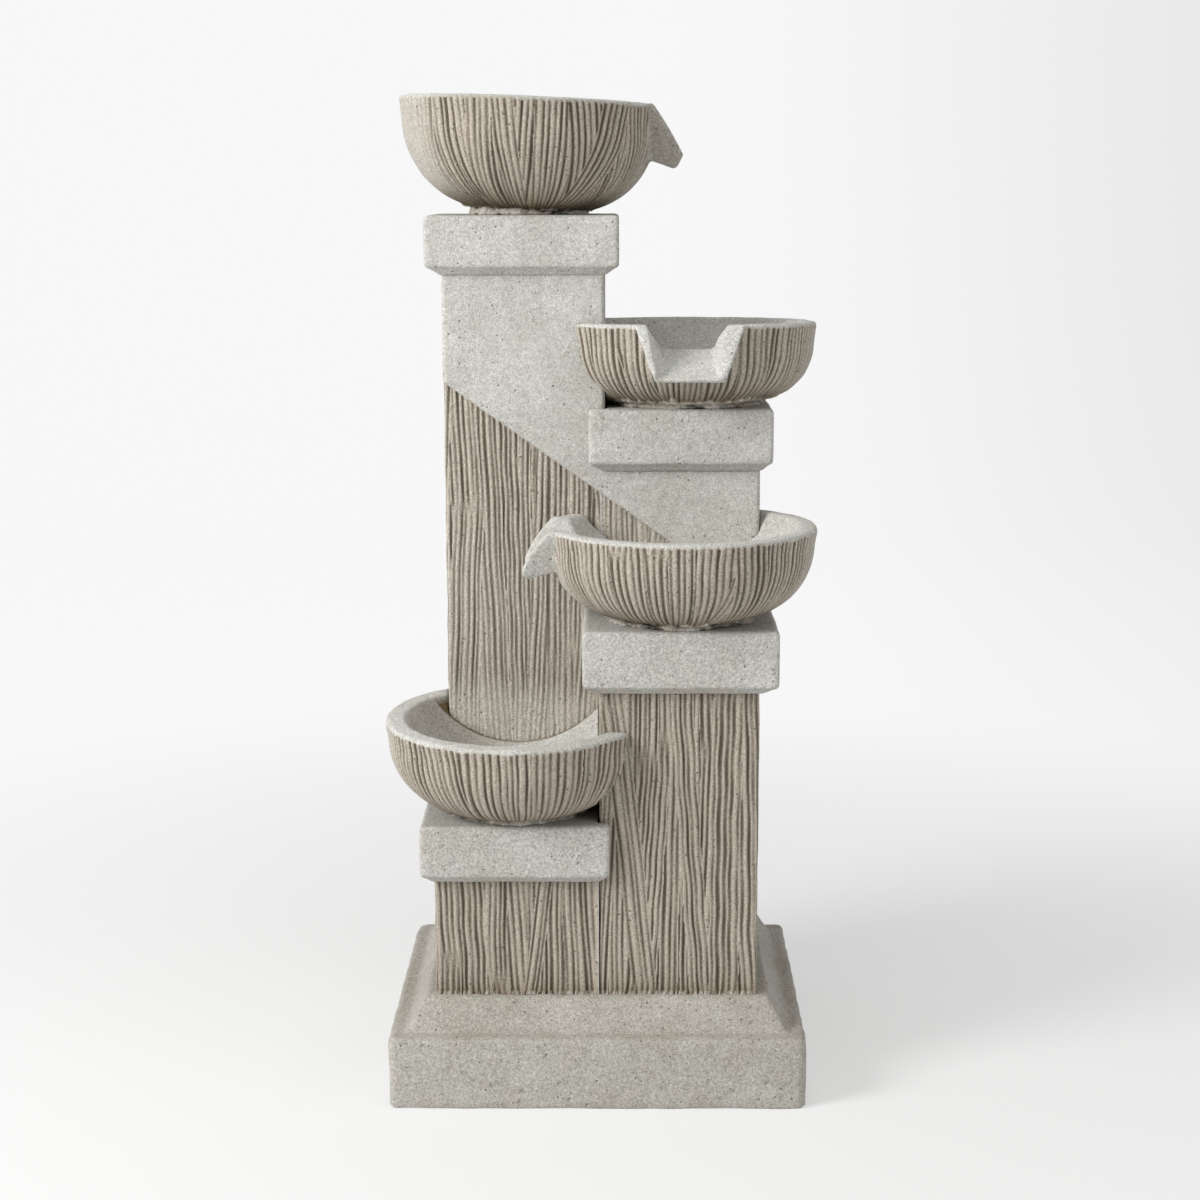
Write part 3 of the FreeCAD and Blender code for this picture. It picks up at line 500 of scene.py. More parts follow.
def ramp_between(tree: bpy.types.NodeTree, value: Setting, start: float, end: float) -> bpy.types.NodeSocket:
    """The output that goes from 0 to 1 as a value goes from start to end."""
    inputs = {"Value": value, "From Min": start, "From Max": end}
    return add_node(tree, "ShaderNodeMapRange", inputs, interpolation_type="SMOOTHSTEP").outputs[0]


def spread(
    tree: bpy.types.NodeTree, value: Setting, start: Setting, end: Setting, lowest: float, highest: float
) -> bpy.types.NodeSocket:
    """The output that goes evenly from lowest to highest as a value goes from start to end."""
    inputs = {"Value": value, "From Min": start, "From Max": end, "To Min": lowest, "To Max": highest}
    return add_node(tree, "ShaderNodeMapRange", inputs).outputs[0]


def calculate(tree: bpy.types.NodeTree, way: str, first: Setting, second: Setting) -> bpy.types.NodeSocket:
    """The output of a sum on two numbers."""
    return add_node(tree, "ShaderNodeMath", {0: first, 1: second}, operation=way).outputs[0]


def noise(
    tree: bpy.types.NodeTree, coordinates: Setting, size_mm: float, detail: float, roughness: float = 0.5
) -> bpy.types.NodeSocket:
    """The output of a cloudy pattern whose patches have about a size in millimetres."""
    inputs = {"Vector": coordinates, "Scale": per_metre(size_mm), "Detail": detail, "Roughness": roughness}
    return add_node(tree, "ShaderNodeTexNoise", inputs).outputs[0]


def bumpy(
    tree: bpy.types.NodeTree, height: Setting, distance: Setting, strength: float
) -> bpy.types.NodeSocket:
    """The output of a face's direction, bent by a pattern's height."""
    inputs = {"Strength": strength, "Distance": distance, "Height": height}
    return add_node(tree, "ShaderNodeBump", inputs).outputs[0]


def cover(tree: bpy.types.NodeTree, inputs: dict[Union[int, str], Setting]) -> None:
    """End a material's tree with a principled surface."""
    shader = add_node(tree, "ShaderNodeBsdfPrincipled", inputs).outputs[0]
    add_node(tree, "ShaderNodeOutputMaterial", {"Surface": shader})


@dataclass(frozen=True)
class CastStone:
    """Cast stone of cement and sand, sanded smooth or combed while green.

    The eye sees a dry matt face of salt-and-pepper sand, a few dark specks and pinholes, slow cloudy
    changes of tone, and on combed faces pale ridges over grooves that hold a brown wash.
    """

    name: str
    paste: str
    cloud: str
    stain_and_shade: str
    speck: str
    ridge: str
    groove: str
    # Colour multiplied in for dirt and painted shade
    grime: str
    smear: str
    grain_mm: float = 1.5
    sand_mm: float = 3.4
    patch_mm: float = 17.0
    speck_mm: float = 5.6
    cloud_mm: float = 85.0
    bump_mm: float = 0.7
    cloud_range: tuple[float, float] = (0.38, 0.64)
    patch_range: tuple[float, float] = (0.42, 0.72)
    patch_share: float = 0.35
    ragged: float = 0.8
    wash_full: float = 0.7
    sand_tone: tuple[float, float] = (0.80, 1.18)
    grain_tone: tuple[float, float] = (0.72, 1.26)
    speck_from: float = 0.45
    speck_radius: float = 0.23
    speck_edge: float = 0.06
    speck_share: float = 0.8
    pit_share: float = 0.75
    sand_relief: float = 0.8
    relief_strength: float = 0.8
    roughness: tuple[float, float] = (0.84, 0.98)

    def material(self) -> bpy.types.Material:
        """Build the node material."""
        material, tree, coordinates = new_material(self.name)

        # Sand grains are under a millimetre, drawn coarser so that they show in the render
        cloud, patch, sand, grain = [
            noise(tree, coordinates, size, detail, 0.65)
            for size, detail in (
                (self.cloud_mm, 4.0), (self.patch_mm, 3.0), (self.sand_mm, 3.0), (self.grain_mm, 1.0),
            )
        ]
        specks = add_node(tree, "ShaderNodeTexVoronoi", {
            "Vector": coordinates, "Scale": per_metre(self.speck_mm),
        })
        comb, raked, grime, pits, smear = [
            add_node(tree, "ShaderNodeAttribute", {}, attribute_name=name).outputs["Fac"]
            for name in ("comb", "raked", "grime", "pits", "smear")
        ]

        # Smooth face: cloudy paste with stained patches
        clouded = ramp_between(tree, cloud, *self.cloud_range)
        face = mix_colours(tree, clouded, linear(self.paste), linear(self.cloud))
        stained_and_shaded = calculate(
            tree, "MULTIPLY", ramp_between(tree, patch, *self.patch_range), self.patch_share
        )
        face = mix_colours(tree, stained_and_shaded, face, linear(self.stain_and_shade))

        # Combed face: ridge colour to groove colour by the groove's depth, with a ragged edge
        ragged = calculate(tree, "MULTIPLY", calculate(tree, "SUBTRACT", sand, 0.5), self.ragged)
        wash = ramp_between(tree, calculate(tree, "ADD", comb, ragged), 0.0, self.wash_full)
        combed = mix_colours(tree, wash, linear(self.ridge), linear(self.groove))
        face = mix_colours(tree, raked, face, combed)
        face = mix_colours(tree, smear, face, linear(self.smear))

        # Sand: darker and paler grains at two sizes, and dark specks of their own sizes
        for pattern, tones in ((sand, self.sand_tone), (grain, self.grain_tone)):
            tone = spread(tree, pattern, *NOISE_RANGE, *tones)
            face = mix_colours(tree, 1.0, face, tone, "MULTIPLY")
        draw = add_node(tree, "ShaderNodeSeparateColor", {0: specks.outputs["Color"]}).outputs[0]
        radius = spread(tree, draw, self.speck_from, 1.0, 0.0, self.speck_radius)
        core = calculate(tree, "SUBTRACT", radius, self.speck_edge)
        speckled = spread(tree, specks.outputs["Distance"], radius, core, 0.0, 1.0)
        speckled = calculate(tree, "MULTIPLY", speckled, self.speck_share)
        face = mix_colours(tree, speckled, face, linear(self.speck))
        # Dirt and painted shade, from a layer per corner, darken the colour
        face = mix_colours(tree, grime, face, linear(self.grime), "MULTIPLY")
        # Pinholes and the mortar bead's hollows are darkened by their depth: painted shade
        pitted = calculate(tree, "MULTIPLY", pits, self.pit_share)
        face = mix_colours(tree, pitted, face, linear(self.speck))

        # Relief: sand grains stand out, more on combed faces, and specks sit in small hollows
        relief = calculate(tree, "ADD", calculate(tree, "MULTIPLY", sand, self.sand_relief), grain)
        relief = calculate(tree, "SUBTRACT", relief, speckled)
        distance = calculate(tree, "MULTIPLY", calculate(tree, "ADD", raked, 1.0), self.bump_mm * MM)
        cover(tree, {
            "Base Color": face,
            "Roughness": spread(tree, grain, *NOISE_RANGE, *self.roughness),
            "Normal": bumpy(tree, relief, distance, self.relief_strength),
            "IOR": 1.5,
            "Specular IOR Level": 0.25,
        })
        return material


@dataclass(frozen=True)
class Moulding:
    """Moulded plastic, rubber or ceramic: one tone with a faint spark-eroded grain."""

    name: str
    colour: str
    worn: str
    roughness: float
    grain_mm: float = 0.9
    bump_mm: float = 0.06
    wear_mm: float = 22.0
    wear_range: tuple[float, float] = (0.45, 0.75)
    uneven: float = 0.07
    ior: float = 1.5
    transmission: float = 0.0

    def material(self) -> bpy.types.Material:
        """Build the node material."""
        material, tree, coordinates = new_material(self.name)
        grain = noise(tree, coordinates, self.grain_mm, 3.0)
        wear = noise(tree, coordinates, self.wear_mm, 4.0, 0.65)
        worn = ramp_between(tree, wear, *self.wear_range)
        least, most = self.roughness - self.uneven, self.roughness + self.uneven
        cover(tree, {
            "Base Color": mix_colours(tree, worn, linear(self.colour), linear(self.worn)),
            "Roughness": spread(tree, wear, *NOISE_RANGE, least, most),
            "Normal": bumpy(tree, grain, self.bump_mm * MM, 0.5),
            "IOR": self.ior,
            "Transmission Weight": self.transmission,
        })
        return material


@dataclass(frozen=True)
class RolledSteel:
    """Rolled stainless band: grey metal with fine streaks along the roll."""

    name: str
    colour: str
    roughness: float
    streak_mm: float = 0.5
    stretch: tuple[float, float, float] = (0.08, 0.08, 1.0)
    bump_mm: float = 0.05
    uneven: float = 0.1

    def material(self) -> bpy.types.Material:
        """Build the node material."""
        material, tree, coordinates = new_material(self.name)
        stretched = add_node(tree, "ShaderNodeMapping", {"Vector": coordinates, "Scale": self.stretch})
        streaks = noise(tree, stretched.outputs[0], self.streak_mm, 2.0)
        least, most = self.roughness - self.uneven, self.roughness + self.uneven
        cover(tree, {
            "Base Color": linear(self.colour),
            "Metallic": 1.0,
            "Roughness": spread(tree, streaks, *NOISE_RANGE, least, most),
            "Normal": bumpy(tree, streaks, self.bump_mm * MM, 0.3),
        })
        return material


STONE = CastStone(
    name="cast_stone_sand_cement",
    paste="#c3c2bd",
    cloud="#b9b7b0",
    stain_and_shade="#b3aea4",
    speck="#5c5850",
    ridge="#bfb7aa",
    groove="#695f53",
    grime="#94805f",
    smear="#cdc8be",
)
MORTAR = CastStone(
    name="mortar_lime_cement",
    paste="#bdb9b0",
    cloud="#a9a296",
    stain_and_shade="#9d9486",
    speck="#57514a",
    ridge="#b1a89b",
    groove="#6c6154",
    grime="#94805f",
    smear="#bdb8ae",
    grain_mm=2.0,
    bump_mm=1.2,
)
BLACK_PLASTIC = Moulding("abs_plastic_black_moulded", "#1d1d1f", "#2a2a2b", 0.42)
GREY_PLASTIC = Moulding("abs_plastic_grey_moulded", "#7d7e80", "#8b8b8b", 0.45)
BLACK_RUBBER = Moulding("nitrile_rubber_black_moulded", "#1a1a1a", "#262524", 0.72)
CLEAR_HOSE = Moulding("pvc_hose_milky_extruded", "#c6cbc6", "#b5bbb4", 0.32, transmission=0.35)
WHITE_CERAMIC = Moulding("alumina_ceramic_ground", "#ece9e3", "#e2ded6", 0.3, ior=1.6)
STEEL = RolledSteel("stainless_steel_rolled", "#b9b9b8", 0.34)


# The fountain's castings

@dataclass
class Casting:
    """A cast block with softened edges: a remeshed copy of its CAD solid, a little uneven, with pinholes."""

    node: str
    name: str
    seed: int
    pit_count: int
    voxel_mm: float = 2.0
    soft_steps: int = 3
    wave_mm: float = 0.18
    wave_length_mm: tuple[float, float] = (28.0, 120.0)
    pit_mm: float = 1.3
    soiled_and_shaded: float = 0.0
    body: str = FOUNTAIN

    def build(self, material: bpy.types.Material) -> None:
        """Model the block and dress it.

        Args:
            material: The finish of its faces.
        """
        piece = cad_copy(self.node, self.name)
        remesh(piece, self.voxel_mm)
        soften(piece, self.soft_steps)
        points = points_of(piece)
        uneven = Waviness(self.seed, self.wave_mm, *self.wave_length_mm).at(points)
        low, high = points.min(axis=0), points.max(axis=0)
        points = points + normals_of(piece) * uneven[:, None]
        move_points(piece, np.clip(points, low, high))
        # Pinholes, darkened by their depth in the material: painted shade
        pits = sink_pits(piece, self.seed + 1, self.pit_count, self.pit_mm)
        # Darker by a share, half as much again on upward faces: dirt and painted shade, as under the bowls on
        # the plinth's slopes
        upward = np.clip(normals_of(piece)[:, 2], 0.0, 1.0)
        paint(piece, pits=pits, grime=self.soiled_and_shaded * (1.0 + 0.5 * upward))
        place(piece, material, self.name, self.body, "smooth_stone", self.node)


@dataclass
class MortarBed:
    """The rough bead of mortar that a bowl is bedded in."""

    node: str
    name: str
    seed: int
    grow_mm: float = 0.0
    lump_mm: float = 1.5
    crumb_mm: float = 0.5
    hollow_mm: float = 2.5
    voxel_mm: float = 1.4

    def build(self, material: bpy.types.Material) -> None:
        """Model the bead and dress it.

        Args:
            material: The finish of its faces.
        """
        piece = cad_copy(self.node, self.name)
        remesh(piece, self.voxel_mm)
        points = points_of(piece)
        floor = points[:, 2].min()
        lumps = Waviness(self.seed, self.lump_mm, 9.0, 60.0, 40).at(points)
        crumbs = Waviness(self.seed + 1, self.crumb_mm, 3.0, 7.0, 40).at(points)
        points = points + normals_of(piece) * (self.grow_mm + lumps + crumbs)[:, None]
        points[:, 2] = np.maximum(points[:, 2], floor)
        move_points(piece, points)
        # The bead's hollows are darkened by their depth: painted shade
        paint(piece, pits=np.clip(-(lumps + crumbs) / self.hollow_mm, 0.0, 1.0))
        place(piece, material, self.name, FOUNTAIN, "mortar", self.node)


class Face(Enum):
    """How one side of a column is finished."""

    COMBED = "combed"
    SMOOTH = "smooth"
    HIDDEN = "hidden"


@dataclass(frozen=True)
class PanelEdge:
    """The slanting lower edge of the smooth panel on the rear pair's front."""

    left_mm: float
    left_height_mm: float = 716.0
    angle: float = 35.5
    lowest_mm: float = 490.0
    rise_mm: float = 2.0

    def height(self, x: np.ndarray) -> np.ndarray:
        """The edge's height at each distance across."""
        fall = math.tan(math.radians(self.angle))
        return np.maximum(self.left_height_mm - fall * (x - self.left_mm), self.lowest_mm)


@dataclass
class Perimeter:
    """The points round a column's outside, in order, with what each carries."""

    places: np.ndarray
    normals: np.ndarray
    across: np.ndarray
    combed: np.ndarray
    raked: np.ndarray


@dataclass
class Column:
    """A hollow column whose shown sides are combed from top to bottom.

    Each stretch of lime has its share, and the heights in millimetres where it starts and is full.
    """

    node: str
    name: str
    sides: tuple[Face, Face, Face, Face]
    seed: int
    panel: Optional[PanelEdge] = None
    wall_mm: float = 14.0
    corner_mm: float = 4.0
    seam_mm: float = 5.0
    overlap_mm: float = 0.0
    soiled_and_shaded: float = 0.0
    lime: tuple[tuple[float, float, float], ...] = ()
    fine_mm: float = 1.05
    side_mm: float = 1.5
    plain_mm: float = 5.0
    row_mm: float = 4.6
    corner_steps: int = 6
    side_depth: float = 0.75
    lime_fill: float = 0.7
    panel_edge_mm: tuple[float, float] = (-1.8, 1.2)
    edge_rows_mm: tuple[float, ...] = (-8.0, -5.0, -3.0, -1.6, -0.6, 0.2, 0.9, 1.8, 3.2, 5.0, 8.0)
    foot_grime_mm: float = 9.0
    crease: float = 55.0

    def __post_init__(self) -> None:
        """Take the column's outline from its CAD node."""
        low, high = box_mm(self.node)
        rise = self.panel.rise_mm if self.panel else 0.0
        self.left, self.front, self.bottom = low[0] - self.overlap_mm, low[1] + rise, low[2]
        self.right, self.back, self.top = high

    def perimeter(self) -> Perimeter:
        """Walk round the column: left side, front, right side and back.

        Returns:
            The points of the walk, with the first not given again at its end.
        """
        corners = np.array([
            (self.left, self.back), (self.left, self.front), (self.right, self.front), (self.right, self.back)
        ])
        outward = np.array([(-1.0, 0.0), (0.0, -1.0), (1.0, 0.0), (0.0, 1.0)])
        steps = (self.side_mm, self.fine_mm, self.side_mm, self.plain_mm)
        radii = [
            0.0 if Face.HIDDEN in (self.sides[number], self.sides[number - 1]) else self.corner_mm
            for number in range(4)
        ]
        places, normals, combed, raked = [], [], [], []
        for number in range(4):
            start, end = corners[number], corners[(number + 1) % 4]
            along = (end - start) / np.linalg.norm(end - start)
            first, last = radii[number], radii[(number + 1) % 4]
            length = np.linalg.norm(end - start) - first - last
            shown = self.sides[number] is Face.COMBED
            step = steps[number] if shown else self.plain_mm
            count = max(2, math.ceil(length / step))
            distance = np.linspace(0.0, length, count, endpoint=last == 0.0 and count > 2)
            if last == 0.0:
                distance = distance[:-1]
            places.append(start + along * (first + distance)[:, None])
            normals.append(np.repeat(outward[number][None], len(distance), axis=0))
            weight = np.full(len(distance), 1.0 if shown else 0.0)
            raked.append(weight.copy())
            if shown and self.seam_mm and self.sides[number - 1] is not Face.COMBED:
                weight *= smoothstep(first + distance, 0.4 * self.seam_mm, self.seam_mm)
            if shown and self.seam_mm and self.sides[(number + 1) % 4] is not Face.COMBED:
                weight *= smoothstep(last + length - distance, 0.4 * self.seam_mm, self.seam_mm)
            weight *= 1.0 if number == 1 else self.side_depth
            combed.append(weight)
            if last > 0.0:
                turn = np.linspace(0.0, math.pi / 2, self.corner_steps, endpoint=False)[:, None]
                following = outward[(number + 1) % 4]
                heading = outward[number] * np.cos(turn) + following * np.sin(turn)
                centre = end - along * last - outward[number] * last
                places.append(centre + heading * last)
                normals.append(heading)
                both = shown and self.sides[(number + 1) % 4] is Face.COMBED
                combed.append(np.full(self.corner_steps, self.side_depth if both else 0.0))
                raked.append(np.full(self.corner_steps, 1.0 if both else 0.0))
        walk = np.vstack(places)
        gaps = np.linalg.norm(np.diff(walk, axis=0), axis=1)
        across = np.concatenate([[0.0], np.cumsum(gaps)])
        return Perimeter(walk, np.vstack(normals), across, np.concatenate(combed), np.concatenate(raked))

    def heights(self, walk: Perimeter) -> tuple[np.ndarray, np.ndarray]:
        """The heights of the rows of points.

        Args:
            walk: The points round the column.

        Returns:
            One row of heights per level, and the panel's edge at each point of the walk.
        """
        count = len(walk.places)
        if self.panel is None:
            rows = math.ceil((self.top - self.bottom) / self.row_mm) + 1
            levels = np.linspace(self.bottom, self.top, rows)
            return np.repeat(levels[:, None], count, axis=1), np.full(count, 10 * self.top)
        edge = self.panel.height(walk.places[:, 0])
        near = np.array(self.edge_rows_mm)
        rows_below = math.ceil((edge.max() - self.bottom) / self.row_mm)
        rows_above = math.ceil((self.top - edge.min()) / (1.6 * self.row_mm))
        below = np.linspace(0.0, 1.0, rows_below, endpoint=False)[:, None]
        above = np.linspace(1.0, 0.0, rows_above, endpoint=False)[::-1][:, None]
        low = self.bottom + below * (edge + near[0] - self.bottom)
        high = edge + near[-1] + above * (self.top - edge - near[-1])
        return np.vstack([low, edge + near[:, None], high]), edge

    def build(self, material: bpy.types.Material) -> bpy.types.Object:
        """Model the column and dress it.

        Args:
            material: The finish of its faces.

        Returns:
            The finished column.
        """
        walk = self.perimeter()
        levels, edge = self.heights(walk)
        rows, count = levels.shape
        across = np.tile(walk.across, rows)
        order = np.argsort(across, kind="stable")
        strokes = CombPasses(self.seed)
        grooves = np.empty(rows * count)
        grooves[order] = strokes.depth(across[order], levels.ravel()[order], np.ones(rows * count))
        grooves = grooves.reshape(rows, count)
        front = np.clip(-walk.normals[:, 1], 0.0, 1.0)
        above = smoothstep(levels - edge, *self.panel_edge_mm)
        limed = np.zeros((rows, count))
        for share, start, end in self.lime:
            limed += share * smoothstep(-levels, -start, -end) * front
        grooves *= walk.combed * (1.0 - above) * (1.0 - self.lime_fill * limed)
        raked = walk.raked * (1.0 - above)
        comb = np.clip(grooves / strokes.depth_mm[1], 0.0, 1.0)

        flat = np.dstack([np.broadcast_to(walk.places, (rows, count, 2)), levels])
        sway = Waviness(self.seed + 7, 0.3, 40.0, 160.0).at(flat.reshape(-1, 3)).reshape(rows, count)
        rise = self.panel.rise_mm * above * front if self.panel else 0.0
        shown = np.where(walk.combed > 0, 1.0, 0.0)
        out = rise - grooves - np.abs(sway) * shown
        places = flat.copy()
        places[:, :, :2] += walk.normals * out[:, :, None]
        inner = np.column_stack([
            np.clip(walk.places[:, 0], self.left + self.wall_mm, self.right - self.wall_mm),
            np.clip(walk.places[:, 1], self.front + self.wall_mm, self.back - self.wall_mm),
        ])
        inner_rows = [np.column_stack([inner, np.full(count, z)])[None] for z in (self.top, self.bottom)]
        surface = np.concatenate([places, *inner_rows, places[:1]])
        surface = np.concatenate([surface, surface[:, :1]], axis=1)
        piece = self.sheet(surface)

        def with_inside(layer: np.ndarray) -> np.ndarray:
            """A layer of the outside, with the inside's rows and the closing column added."""
            whole = np.vstack([layer, np.zeros((3, count))])
            return np.concatenate([whole, whole[:, :1]], axis=1)

        # Darker towards the foot, more in the grooves: dirt and painted contact shade where the column stands
        # on the plinth
        foot = np.exp(-(levels - self.bottom) / self.foot_grime_mm) * (0.5 + 0.5 * comb)
        paint(
            piece,
            comb=with_inside(comb),
            raked=with_inside(raked),
            grime=with_inside(np.minimum(self.soiled_and_shaded + foot, 1.0) * raked),
            smear=with_inside(limed),
        )
        merge_doubles(piece, turn_out=True)
        make_active(piece)
        bpy.ops.object.shade_smooth_by_angle(angle=math.radians(self.crease))
        place(piece, material, self.name, FOUNTAIN, "combed_stone", self.node)
        return piece

    @staticmethod
    def sheet(surface: np.ndarray) -> bpy.types.Object:
        """A grid primitive laid over rows of places.

        Args:
            surface: Places in millimetres, by row and by column.

        Returns:
            The laid grid.
        """
        rows, columns = surface.shape[:2]
        deselect_all()
        bpy.ops.mesh.primitive_grid_add(x_subdivisions=columns - 1, y_subdivisions=rows - 1, size=2.0)
        piece = bpy.context.object
        share = (points_of(piece)[:, :2] * MM + 1.0) / 2.0
        column = np.rint(share[:, 0] * (columns - 1)).astype(int)
        row = np.rint(share[:, 1] * (rows - 1)).astype(int)
        order = row * columns + column
        move_points(piece, surface.reshape(-1, 3)[order])
        return piece


def cut_door_opening(column: bpy.types.Object) -> None:
    """Cut the access door's rebated opening and the grommet's hole in the tall column's back.

    Args:
        column: The finished tall column.
    """
    lap, plate, clearance, reach, sleeve = 8.0, 6.0, 0.6, 30.0, 8.1
    low, high = box_mm("access_door")
    back = high[1]
    inset = lap - clearance
    opening_low = (low[0] + inset, back - reach, low[2] + inset)
    opening_high = (high[0] - inset, back + reach, high[2] - inset)
    combine(column, block(opening_low, opening_high), Join.CUT)
    rebate_low = (low[0] - clearance, back - plate, low[2] - clearance)
    rebate_high = (high[0] + clearance, back + reach, high[2] + clearance)
    combine(column, block(rebate_low, rebate_high), Join.CUT)
    middle = sum(box_mm("cable_grommet")) / 2
    turn = np.linspace(0.0, math.tau, 48, endpoint=False)
    outline = np.column_stack([
        middle[0] + sleeve * np.cos(turn), np.full_like(turn, back - reach), middle[2] + sleeve * np.sin(turn)
    ])
    combine(column, prism(outline, (0.0, 2 * reach, 0.0)), Join.CUT)


@dataclass(frozen=True)
class Spout:
    """A spout's way on plan, in degrees from X, and the sizes of its plates and lip."""

    turn: float
    reach_mm: float
    drop_mm: float
    lip_mm: float
    sill_mm: float
    bulge_mm: float


@dataclass
class Bowl:
    """A round dished bowl with a combed outside, a smooth rim and inside, and a spout where it has one."""

    tier: str
    seed: int
    radius_mm: float
    height_mm: float
    band_mm: float
    walls: tuple[str, ...]
    spout: Optional[Spout] = None
    dip: float = 0.0
    dip_turn: float = 0.0
    hole_mm: float = 0.0
    seat_mm: float = 0.0
    nut_mm: float = 0.0
    comb_lean: float = 0.055
    worn_from: float = 70.0
    joint_grime: float = 0.0
    soiled_and_shaded: float = 0.1
    stained_and_shaded: float = 0.2
    plate_shade: float = 0.0
    wall_mm: float = 18.0
    floor_mm: float = 24.0
    lean_mm: float = 2.5
    rim_mm: float = 4.5
    bed_mm: float = 4.0
    gap_mm: float = 0.4
    lip_slant: float = 0.55
    underside_rise: float = 0.3
    spout_root_mm: float = 6.5
    spout_rim_half_mm: float = 55.5
    spout_lip_half_mm: float = 34.5
    trough_weir_half_mm: float = 26.5
    trough_lip_half_mm: float = 29.0
    trough_top_half_mm: float = 40.0
    weir_depth_mm: float = 36.0
    comb_margin_mm: float = 2.2
    comb_start_mm: float = 3.0
    side_fades: tuple[tuple[float, float, float], ...] = ((0.7, 56.0, 84.0), (0.3, 95.0, 125.0))
    worn_share: float = 0.65
    worn_over: float = 20.0
    smear_mm: tuple[float, float] = (16.0, 11.0)
    foot_grime: float = 0.8
    voxel_mm: float = 2.0
    refined_to: float = 86.0
    turn_steps: int = 144
    past_mm: float = 6.0

    def __post_init__(self) -> None:
        """Take the middle of the bowl's foot from its mortar bed, and work out how its level planes dip."""
        bed_low, bed_high = box_mm(self.tier + "_mortar_bed")
        half = (bed_high[0] - bed_low[0]) / 2
        self.middle = np.array([bed_low[0] + half, bed_low[1] + half, bed_low[2] + self.bed_mm])
        self.knuckle = self.height_mm - self.band_mm
        self.foot = self.radius_mm - self.lean_mm - self.knuckle
        turn = math.radians(self.dip_turn)
        slope = math.tan(math.radians(self.dip))
        self.dipped = np.eye(3)
        self.dipped[2, :2] = (-slope * math.cos(turn), -slope * math.sin(turn))

    @staticmethod
    def bend(centre: tuple[float, float], radius: float, start: float, end: float, steps: int) -> np.ndarray:
        """Points on a round stretch of an outline.

        Args:
            centre: Radius and height of the round's middle.
            radius: The round's radius.
            start: Angle of the first point in degrees, 0 pointing away from the axis.
            end: Angle of the last point in degrees.
            steps: How many steps lie between them.

        Returns:
            Rows of radius and height.
        """
        turn = np.radians(np.linspace(start, end, steps + 1))
        return np.column_stack([centre[0] + radius * np.cos(turn), centre[1] + radius * np.sin(turn)])

    def outside(self) -> np.ndarray:
        """The outline of the bowl's outer form, from the axis out and back."""
        top, rim = self.height_mm, self.rim_mm
        return np.vstack([
            [(0.0, 0.0)],
            self.bend((self.foot, self.knuckle), self.knuckle, -90.0, 0.0, 24),
            self.bend((self.radius_mm - rim, top - rim), rim, 0.0, 90.0, 6),
            [(0.0, top)],
        ])

    def inside(self) -> np.ndarray:
        """The outline of the bowl's dish, opening out over the rounded rim."""
        top, rim = self.height_mm, self.rim_mm
        inner = self.radius_mm - self.wall_mm
        depth = top - rim - self.floor_mm
        dish = (inner ** 2 + depth ** 2) / (2 * depth)
        edge = math.degrees(math.asin(inner / dish))
        return np.vstack([
            self.bend((0.0, self.floor_mm + dish), dish, -90.0, edge - 90.0, 28),
            self.bend((inner + rim, top - rim), rim, 180.0, 90.0, 6)[1:],
            [(inner + rim, top + self.past_mm), (0.0, top + self.past_mm)],
        ])

    def turned(self, points: Sequence[tuple[float, float, float]]) -> np.ndarray:
        """Points of the spout's own frame, turned its way."""
        return np.array(points) @ np.array(Matrix.Rotation(math.radians(self.spout.turn), 3, "Z")).T

    def spout_plates(self) -> bpy.types.Object:
        """The spout's side plates, curving down from the rim to a raked lip, drawn in downwards.

        Returns:
            The spout as one solid.
        """
        top, drop, lip = self.height_mm, self.spout.drop_mm, self.spout.lip_mm
        start = self.radius_mm - self.spout_root_mm
        tip = self.radius_mm + self.spout.reach_mm
        inside = self.radius_mm - 2 * self.wall_mm
        low = top - drop - lip
        chord = math.hypot(tip - start, drop)
        share = np.linspace(0.0, 1.0, 13)
        swell = 4 * self.spout.bulge_mm * share * (1 - share)
        curve = np.column_stack([
            start + share * (tip - start) + swell * drop / chord,
            top - share * drop + swell * (tip - start) / chord,
        ])
        lip_end = tip - self.lip_slant * lip
        underside = low + self.underside_rise * (lip_end - inside)
        side = [(inside, top), *map(tuple, curve), (lip_end, low), (inside, underside)]
        half = self.spout_rim_half_mm + self.past_mm
        push = self.turned([(0.0, 2 * half, 0.0)])[0]
        plates = prism(self.turned([(x, -half, z) for x, z in side]), push)
        across = [
            (-self.spout_lip_half_mm, low), (self.spout_lip_half_mm, low),
            (self.spout_rim_half_mm, top), (-self.spout_rim_half_mm, top),
        ]
        push = self.turned([(tip - inside + 2 * self.past_mm, 0.0, 0.0)])[0]
        flare = prism(self.turned([(inside - self.past_mm, y, z) for y, z in across]), push)
        combine(plates, flare, Join.KEEP_COMMON)
        return plates

    def trough(self) -> bpy.types.Object:
        """The flaring trough that the water runs out through.

        Returns:
            The space that it takes, as one solid.
        """
        top, reach = self.height_mm, self.spout.reach_mm
        weir = self.radius_mm - self.wall_mm
        corners = []
        for distance in (self.radius_mm - 3 * self.wall_mm, self.radius_mm + 2 * reach):
            share = (distance - weir) / (reach + self.wall_mm)
            depth = self.weir_depth_mm + share * (self.spout.sill_mm - self.weir_depth_mm)
            widening = self.trough_lip_half_mm - self.trough_weir_half_mm
            floor_half = self.trough_weir_half_mm + share * widening
            flare = self.trough_top_half_mm - floor_half
            top_half = self.trough_top_half_mm + self.past_mm * flare / depth
            for half, z in ((floor_half, top - depth), (top_half, top + self.past_mm)):
                corners += [(distance, -half, z), (distance, half, z)]
        solid = block((0.0, 0.0, 0.0), (1.0, 1.0, 1.0))
        share = np.rint(points_of(solid)).astype(int)
        number = share[:, 0] * 4 + share[:, 2] * 2 + share[:, 1]
        move_points(solid, self.turned(corners)[number])
        return solid

